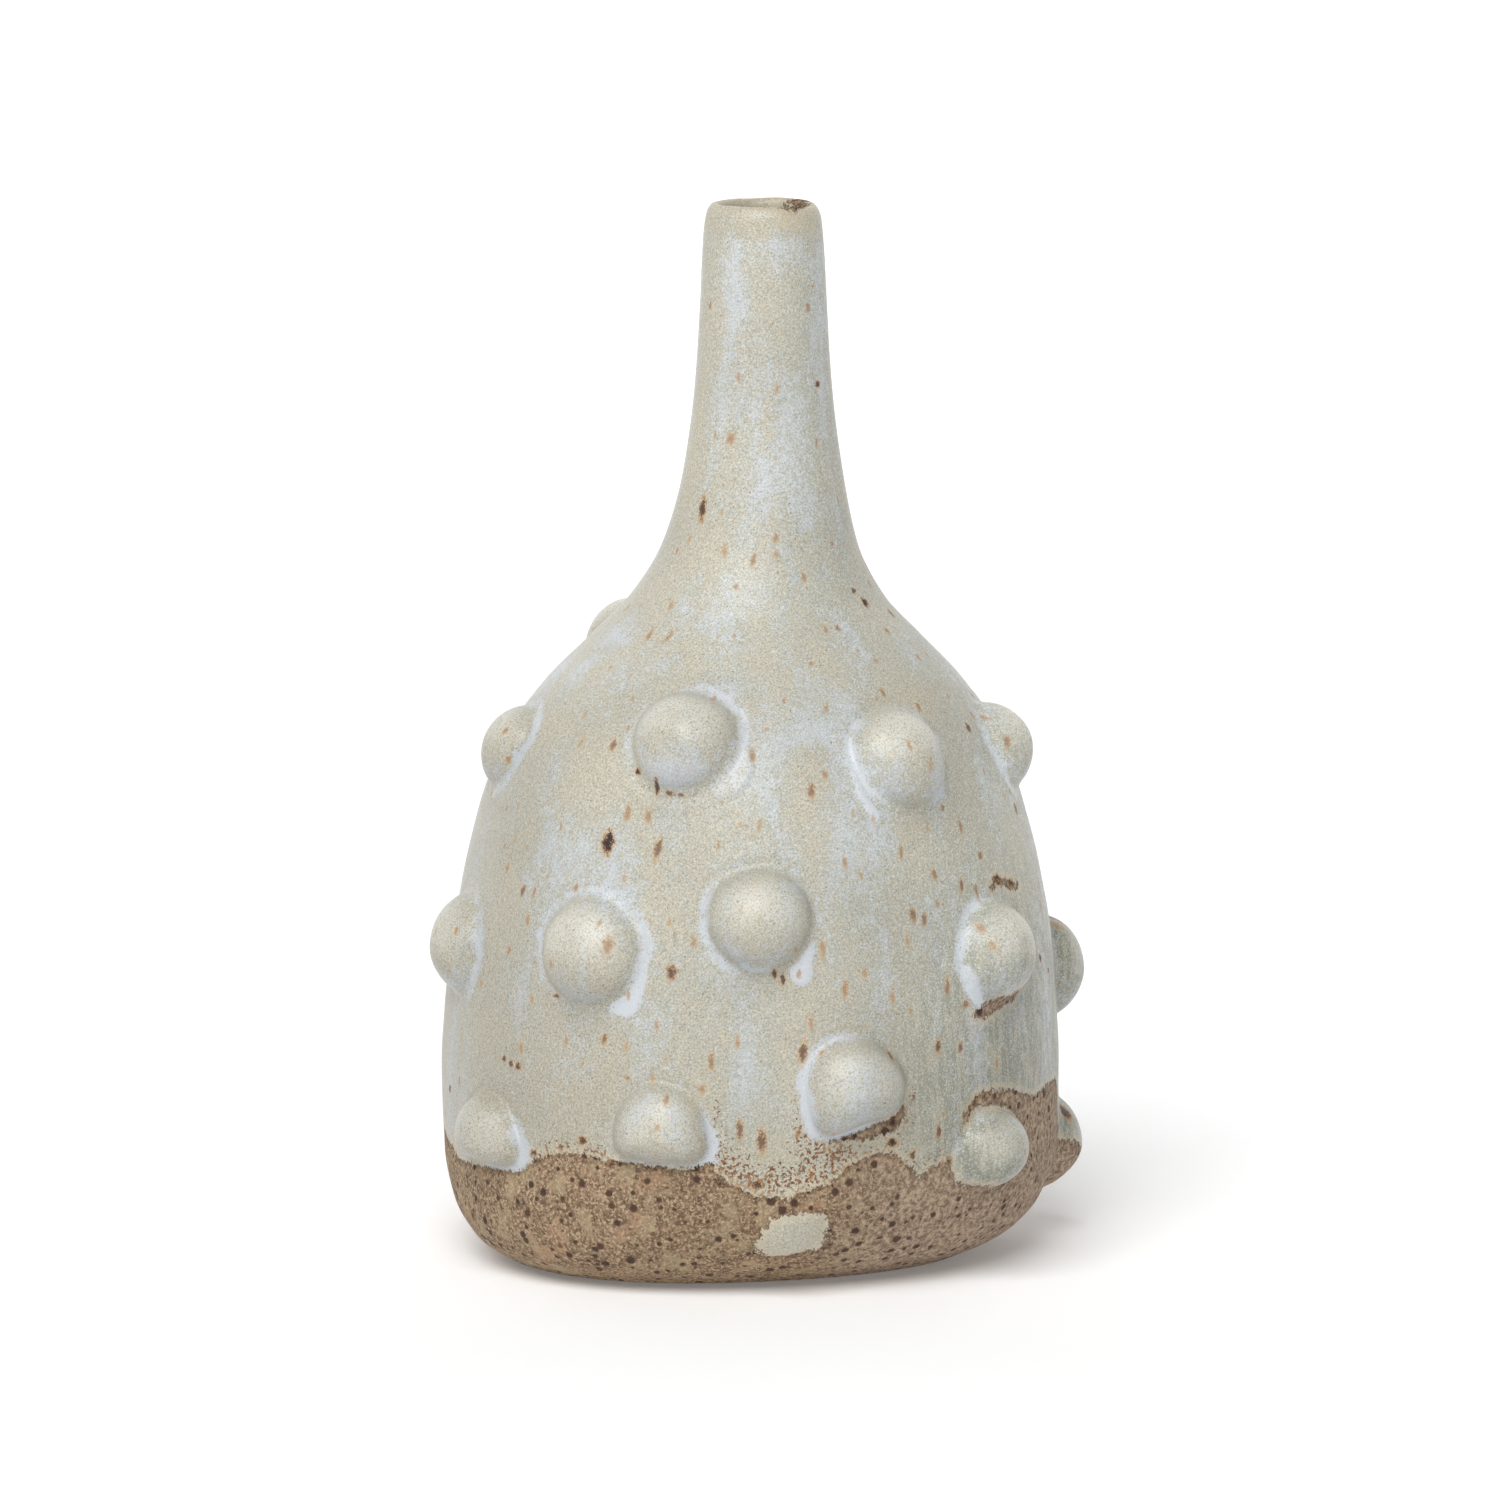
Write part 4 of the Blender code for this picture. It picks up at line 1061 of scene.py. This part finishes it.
def stoneware():
    mat = bpy.data.materials.new("glazed_stoneware")
    mat.use_nodes = True
    tree = mat.node_tree
    tree.nodes.clear()
    g = Graph(tree)
    where = g.node("ShaderNodeTexCoord").outputs["Object"]
    mm = g.scaled(where, (1000.0, 1000.0, 1000.0))
    run = g.scaled(where, (1000.0, 1000.0, 300.0))  # drawn out down the pot
    pool, ring, edge, thin, tone, crown_pale_and_highlight, painted_shade_and_tint = (g.attr(n) for n in ("pool", "ring", "edge", "thin", "tone", "crown_pale_and_highlight", "painted_shade_and_tint"))

    grain = g.noise(mm, 2.7, 1.5, 0.70)
    fine = g.noise(mm, 4.2, 1.0, 0.6)
    blotch = g.noise(mm, 0.55, 3.0, 0.58)
    cloud = g.noise(run, 0.105, 3.0, 0.55)
    streak = g.noise(g.scaled(where, (1000.0, 1000.0, 150.0)), 0.85, 3.0, 0.62)

    # glaze mask with a ragged edge, broken into dots where it is thin
    ragged = g.noise(mm, 0.60, 4.0, 0.64)
    nick = g.noise(g.scaled(where, (1000.0, 1000.0, 560.0)), 1.9, 2.0, 0.65)
    dist = g.add(edge, g.math("MULTIPLY_ADD", ragged, 3.4, -1.7), g.math("MULTIPLY_ADD", nick, 2.6, -1.3))
    body = g.smooth(dist, -0.16, 0.16)
    hole_noise = g.noise(mm, 1.45, 2.0, 0.60)
    holes = g.smooth(g.add(hole_noise, g.mul(thin, 0.20)), 0.69, 0.73)
    holes = g.mul(holes, g.smooth(thin, 0.12, 0.35))
    glazed = g.mul(body, g.math("SUBTRACT", 1.0, holes))

    # bare clay: brown body, pale grog flecks, dark iron specks
    mottle = g.noise(mm, 1.0, 4.0, 0.76)
    patch = g.noise(mm, 0.12, 3.0, 0.5)
    flecks = g.noise(mm, 1.75, 1.5, 0.62)
    body_clay = g.smooth(mottle, 0.39, 0.63)
    clay = g.mix(body_clay, srgb(106, 84, 64), srgb(163, 138, 111))
    clay = g.mix(g.smooth(flecks, 0.54, 0.62, 0.0, 0.66), clay, srgb(200, 180, 150))
    clay = g.mix(g.smooth(g.noise(mm, 0.19, 2.0, 0.5), 0.52, 0.66, 0.0, 0.45), clay, srgb(178, 162, 130))
    clay = g.mix(g.smooth(patch, 0.56, 0.70, 0.0, 0.42), clay, srgb(194, 156, 124))
    grey_clay = g.mix(body_clay, srgb(124, 103, 86), srgb(190, 170, 147))
    clay = g.mix(g.smooth(tone, 0.02, 0.5, 0.0, 0.85), clay, grey_clay)
    d1, r1, q1 = g.cells(mm, 0.40)
    d2, r2, q2 = g.cells(mm, 0.80)
    wob = g.math("MULTIPLY_ADD", g.noise(mm, 1.7, 2.0, 0.6), 0.20, -0.10)
    size1 = g.math("MULTIPLY_ADD", g.mul(q1, q1), 0.28, 0.23)
    big = g.mul(g.smooth(g.add(d1, wob), size1, g.mul(size1, 0.55)), g.smooth(r1, 0.28, 0.32))
    small = g.mul(g.smooth(g.add(d2, wob), g.math("MULTIPLY_ADD", q2, 0.14, 0.22), 0.09), g.smooth(r2, 0.50, 0.56))
    specks = g.math("MAXIMUM", g.mul(big, 0.94), g.mul(small, 0.62))
    clay = g.mix(specks, clay, g.mix(r1, srgb(50, 37, 38), srgb(84, 58, 44)))
    # where thin glaze breaks, the dots fire rust brown
    clay = g.mix(g.mul(holes, body, 0.72), clay, g.mix(g.smooth(grain, 0.40, 0.60), srgb(112, 68, 42), srgb(156, 106, 66)))

    # glaze colour: slow drifts between cream and green-grey, streaks, then salt and pepper
    blend = g.add(g.mul(blotch, 0.42), g.mul(cloud, 0.95), g.mul(streak, 0.45), g.mul(tone, 0.10))
    body_tone = g.smooth(blend, 0.66, 1.16)
    glaze = g.mix(body_tone, srgb(197, 191, 174), srgb(184, 187, 178))
    greenish = g.mix(g.smooth(streak, 0.42, 0.60), srgb(137, 141, 130), srgb(177, 175, 157))
    glaze = g.mix(g.smooth(tone, 0.02, 0.75, 0.0, 0.92), glaze, greenish)
    glaze = g.mix(g.smooth(g.math("MULTIPLY", tone, -1.0), 0.05, 1.0, 0.0, 0.45), glaze, srgb(190, 183, 164))
    cream = g.smooth(g.add(g.mul(pool, -1.0), g.math("MULTIPLY_ADD", blotch, 1.1, -0.55)), 0.12, 0.85, 0.0, 0.75)
    glaze = g.mix(cream, glaze, srgb(197, 189, 168))
    # painted highlight on the bobbles' crowns, mixed with the pale thin glaze there
    glaze = g.mix(g.mul(crown_pale_and_highlight, 0.72), glaze, srgb(226, 223, 211))
    salt = g.smooth(grain, 0.54, 0.63)
    pepper = g.smooth(grain, 0.47, 0.37)
    glaze = g.mix(g.mul(salt, 0.60), glaze, srgb(225, 220, 203))
    glaze = g.mix(g.mul(pepper, 0.60), glaze, srgb(146, 148, 137))
    d4, r4, q4 = g.cells(mm, 0.85)
    pits = g.mul(g.smooth(d4, g.math("MULTIPLY_ADD", q4, 0.10, 0.15), 0.06), g.smooth(r4, 0.62, 0.66))
    # tan freckles where the iron comes through
    freckle = g.smooth(g.add(g.noise(g.scaled(where, (1000.0, 1000.0, 620.0)), 1.25, 3.0, 0.7), g.mul(fine, 0.20)), 0.69, 0.80, 0.0, 0.65)
    glaze = g.mix(freckle, glaze, srgb(186, 156, 118))
    # pooled glaze: bluish white washes, and clean white where it gathers in the fillets
    depth = g.add(g.mul(pool, 0.85), g.math("MULTIPLY_ADD", blotch, 1.5, -0.75), g.math("MULTIPLY_ADD", grain, 0.8, -0.4), g.math("MULTIPLY_ADD", cloud, 2.6, -1.22))
    wash = g.smooth(depth, -0.05, 1.0, 0.0, 0.80)
    glaze = g.mix(wash, glaze, g.mix(g.smooth(grain, 0.40, 0.60), srgb(193, 200, 206), srgb(214, 217, 220)))
    gather = g.add(ring, g.math("MULTIPLY_ADD", blotch, 1.1, -0.55), g.math("MULTIPLY_ADD", grain, 1.3, -0.65))
    white = g.smooth(gather, 0.06, 1.05, 0.0, 0.90)
    glaze = g.mix(white, glaze, g.mix(g.smooth(fine, 0.40, 0.62), srgb(206, 213, 221), srgb(220, 224, 229)))
    glaze = g.mix(g.mul(pits, 0.70), glaze, srgb(112, 102, 84))
    # painted shade and light: the glaze colour is darkened or lightened by the per-vertex shading attribute
    dim = g.math("MULTIPLY_ADD", painted_shade_and_tint, 0.13, 1.0)
    shaded = g.node("ShaderNodeVectorMath", operation="SCALE")
    g.put(shaded.inputs[0], glaze)
    g.put(shaded.inputs["Scale"], dim)
    glaze = shaded.outputs[0]

    # small rust flecks run down by the firing
    d3, r3, q3 = g.cells(g.scaled(where, (1000.0, 1000.0, 400.0)), 0.27)
    fleck = g.mul(g.smooth(g.add(d3, wob), g.math("MULTIPLY_ADD", q3, 0.10, 0.10), 0.02), g.smooth(r3, 0.72, 0.76), g.math("MULTIPLY_ADD", q3, 0.50, 0.18))
    # placed iron spots
    wx = g.add(g.math("MULTIPLY_ADD", g.noise(mm, 0.85, 2.0, 0.6), 1.7, -0.85), g.math("MULTIPLY_ADD", fine, 1.5, -0.75))
    wy = g.add(g.math("MULTIPLY_ADD", g.noise(mm, 1.05, 2.0, 0.6), 1.5, -0.75), g.math("MULTIPLY_ADD", grain, 1.3, -0.65))
    iron, dark = g.mul(fleck, 1.25), g.mul(fleck, 0.34)
    for i in range(len(SPOT_SETS)):
        x, y, k = g.split(g.attr("spot%d" % i, "Vector"))
        x, y = g.add(x, wx), g.add(y, wy)
        d = g.math("SQRT", g.add(g.mul(x, x), g.mul(y, y)))
        there = g.math("GREATER_THAN", k, 0.0)
        alpha = g.mul(g.smooth(d, 1.55, 0.55), there)
        core = g.mul(g.smooth(d, 1.15, 0.35), there)
        iron = g.math("MAXIMUM", iron, g.mul(alpha, g.math("MULTIPLY_ADD", k, 0.52, 0.46)))
        dark = g.math("MAXIMUM", dark, g.mul(core, g.math("POWER", k, 0.9)))
    ramp = g.node("ShaderNodeValToRGB")
    stops = [(0.0, srgb(196, 160, 104)), (0.22, srgb(172, 122, 66)), (0.55, srgb(112, 72, 44)), (1.0, srgb(48, 40, 46))]
    ramp.color_ramp.elements[0].position, ramp.color_ramp.elements[0].color = stops[0]
    ramp.color_ramp.elements[1].position, ramp.color_ramp.elements[1].color = stops[3]
    for pos, colour in stops[1:3]:
        e = ramp.color_ramp.elements.new(pos)
        e.color = colour
    g.put(ramp.inputs[0], dark)

    colour = g.mix(glazed, clay, glaze)
    colour = g.mix(g.mul(iron, g.smooth(dist, -1.5, 0.2)), colour, ramp.outputs[0])
    # a thin brown line where the glaze ends, and cream just inside it
    line = g.mul(g.smooth(dist, -1.1, -0.05), g.smooth(dist, 0.30, -0.05))
    colour = g.tint(g.mul(line, 0.5), colour, srgb(150, 118, 92))
    rim_cream = g.mul(g.smooth(dist, 0.05, 0.35), g.smooth(dist, 1.9, 0.5), g.smooth(ring, 0.5, 0.2), 0.50)
    colour = g.mix(rim_cream, colour, srgb(206, 192, 164))

    rough_glaze = g.add(0.31, g.mul(grain, 0.16), g.mul(white, -0.10), g.mul(iron, 0.10))
    rough = g.math("ADD", g.mul(glazed, rough_glaze), g.mul(g.math("SUBTRACT", 1.0, glazed), g.math("MULTIPLY_ADD", mottle, 0.15, 0.80)), clamp=True)

    # relief in millimetres
    skin_h = g.add(g.mul(g.noise(mm, 0.40, 2.0, 0.5), 0.12), g.mul(grain, 0.030), g.mul(streak, 0.035))
    clay_h = g.add(g.mul(mottle, 0.10), g.mul(flecks, 0.05), g.mul(specks, -0.06), g.mul(g.noise(mm, 0.5, 3.0, 0.6), 0.12))
    height = g.add(g.mul(glazed, g.add(0.13, skin_h, g.mul(white, 0.03), g.mul(iron, -0.03))), g.mul(g.math("SUBTRACT", 1.0, glazed), clay_h))
    bump = g.node("ShaderNodeBump")
    bump.inputs["Strength"].default_value = 0.85
    bump.inputs["Distance"].default_value = 0.001
    g.put(bump.inputs["Height"], height)

    shader = g.node("ShaderNodeBsdfPrincipled")
    g.put(shader.inputs["Base Color"], colour)
    g.put(shader.inputs["Roughness"], rough)
    g.put(shader.inputs["Normal"], bump.outputs[0])
    shader.inputs["Specular IOR Level"].default_value = 0.40
    out = g.node("ShaderNodeOutputMaterial")
    tree.links.new(shader.outputs[0], out.inputs[0])
    return mat


# ------------------------------------------------------------------ build
clay_and_glaze = stoneware()
belly_wall(clay_and_glaze)
neck(clay_and_glaze)
base_slab(clay_and_glaze)
for bobble_name, bobble_spec in BOBBLES.items():
    bobble(bobble_name, bobble_spec, clay_and_glaze)


# ------------------------------------------------------------------ stage
def sweep():
    """A pale floor that curves up into a backdrop behind the vase."""
    ys = [-2.6, 1.0] + [1.0 + 0.9 * math.sin(t) for t in np.linspace(0.1, math.pi / 2, 14)] + [1.9]
    zs = [0.0, 0.0] + [0.9 - 0.9 * math.cos(t) for t in np.linspace(0.1, math.pi / 2, 14)] + [3.4]
    verts = [(x, y, z) for y, z in zip(ys, zs) for x in (-3.5, 3.5)]
    faces = [(2 * i, 2 * i + 1, 2 * i + 3, 2 * i + 2) for i in range(len(ys) - 1)]
    mesh = bpy.data.meshes.new("floor")
    mesh.from_pydata(verts, [], faces)
    mesh.shade_smooth()
    obj = bpy.data.objects.new("floor", mesh)
    bpy.context.scene.collection.objects.link(obj)
    mat = bpy.data.materials.new("pale_paper")
    mat.use_nodes = True
    b = mat.node_tree.nodes["Principled BSDF"]
    b.inputs["Base Color"].default_value = (0.94, 0.94, 0.94, 1)
    b.inputs["Roughness"].default_value = 0.9
    b.inputs["Specular IOR Level"].default_value = 0.1
    b.inputs["Emission Color"].default_value = (1.0, 1.0, 1.0, 1)
    b.inputs["Emission Strength"].default_value = 0.14
    mesh.materials.append(mat)


def sun(name, towards, angle, strength):
    light = bpy.data.lights.new(name, "SUN")
    light.angle = math.radians(angle)
    light.energy = strength
    obj = bpy.data.objects.new(name, light)
    bpy.context.scene.collection.objects.link(obj)
    obj.rotation_euler = Vector(towards).to_track_quat("-Z", "Y").to_euler()
    return obj


sweep()
world = bpy.data.worlds.new("studio")
bpy.context.scene.world = world
world.use_nodes = True
world.node_tree.nodes["Background"].inputs["Color"].default_value = (1.0, 1.0, 1.0, 1)
world.node_tree.nodes["Background"].inputs["Strength"].default_value = 0.165
# a large soft light above the camera's left shoulder
sun("key", (0.19, 0.63, -0.75), 44.0, 2.60)

CAMERA_AT = (0.0, -1.8, 0.3735)
AIM = (-0.00017, 0.0, 0.1030)
cam = bpy.data.cameras.new("photo_view")
cam.sensor_fit = "HORIZONTAL"
cam.sensor_width = 36.0
cam.lens = 212.48
cam.clip_start, cam.clip_end = 0.05, 20.0
cam_obj = bpy.data.objects.new("photo_view", cam)
bpy.context.scene.collection.objects.link(cam_obj)
cam_obj.location = CAMERA_AT
cam_obj.rotation_euler = (Vector(AIM) - Vector(CAMERA_AT)).to_track_quat("-Z", "Y").to_euler()
bpy.context.scene.camera = cam_obj
bpy.context.scene.view_settings.view_transform = "Standard"
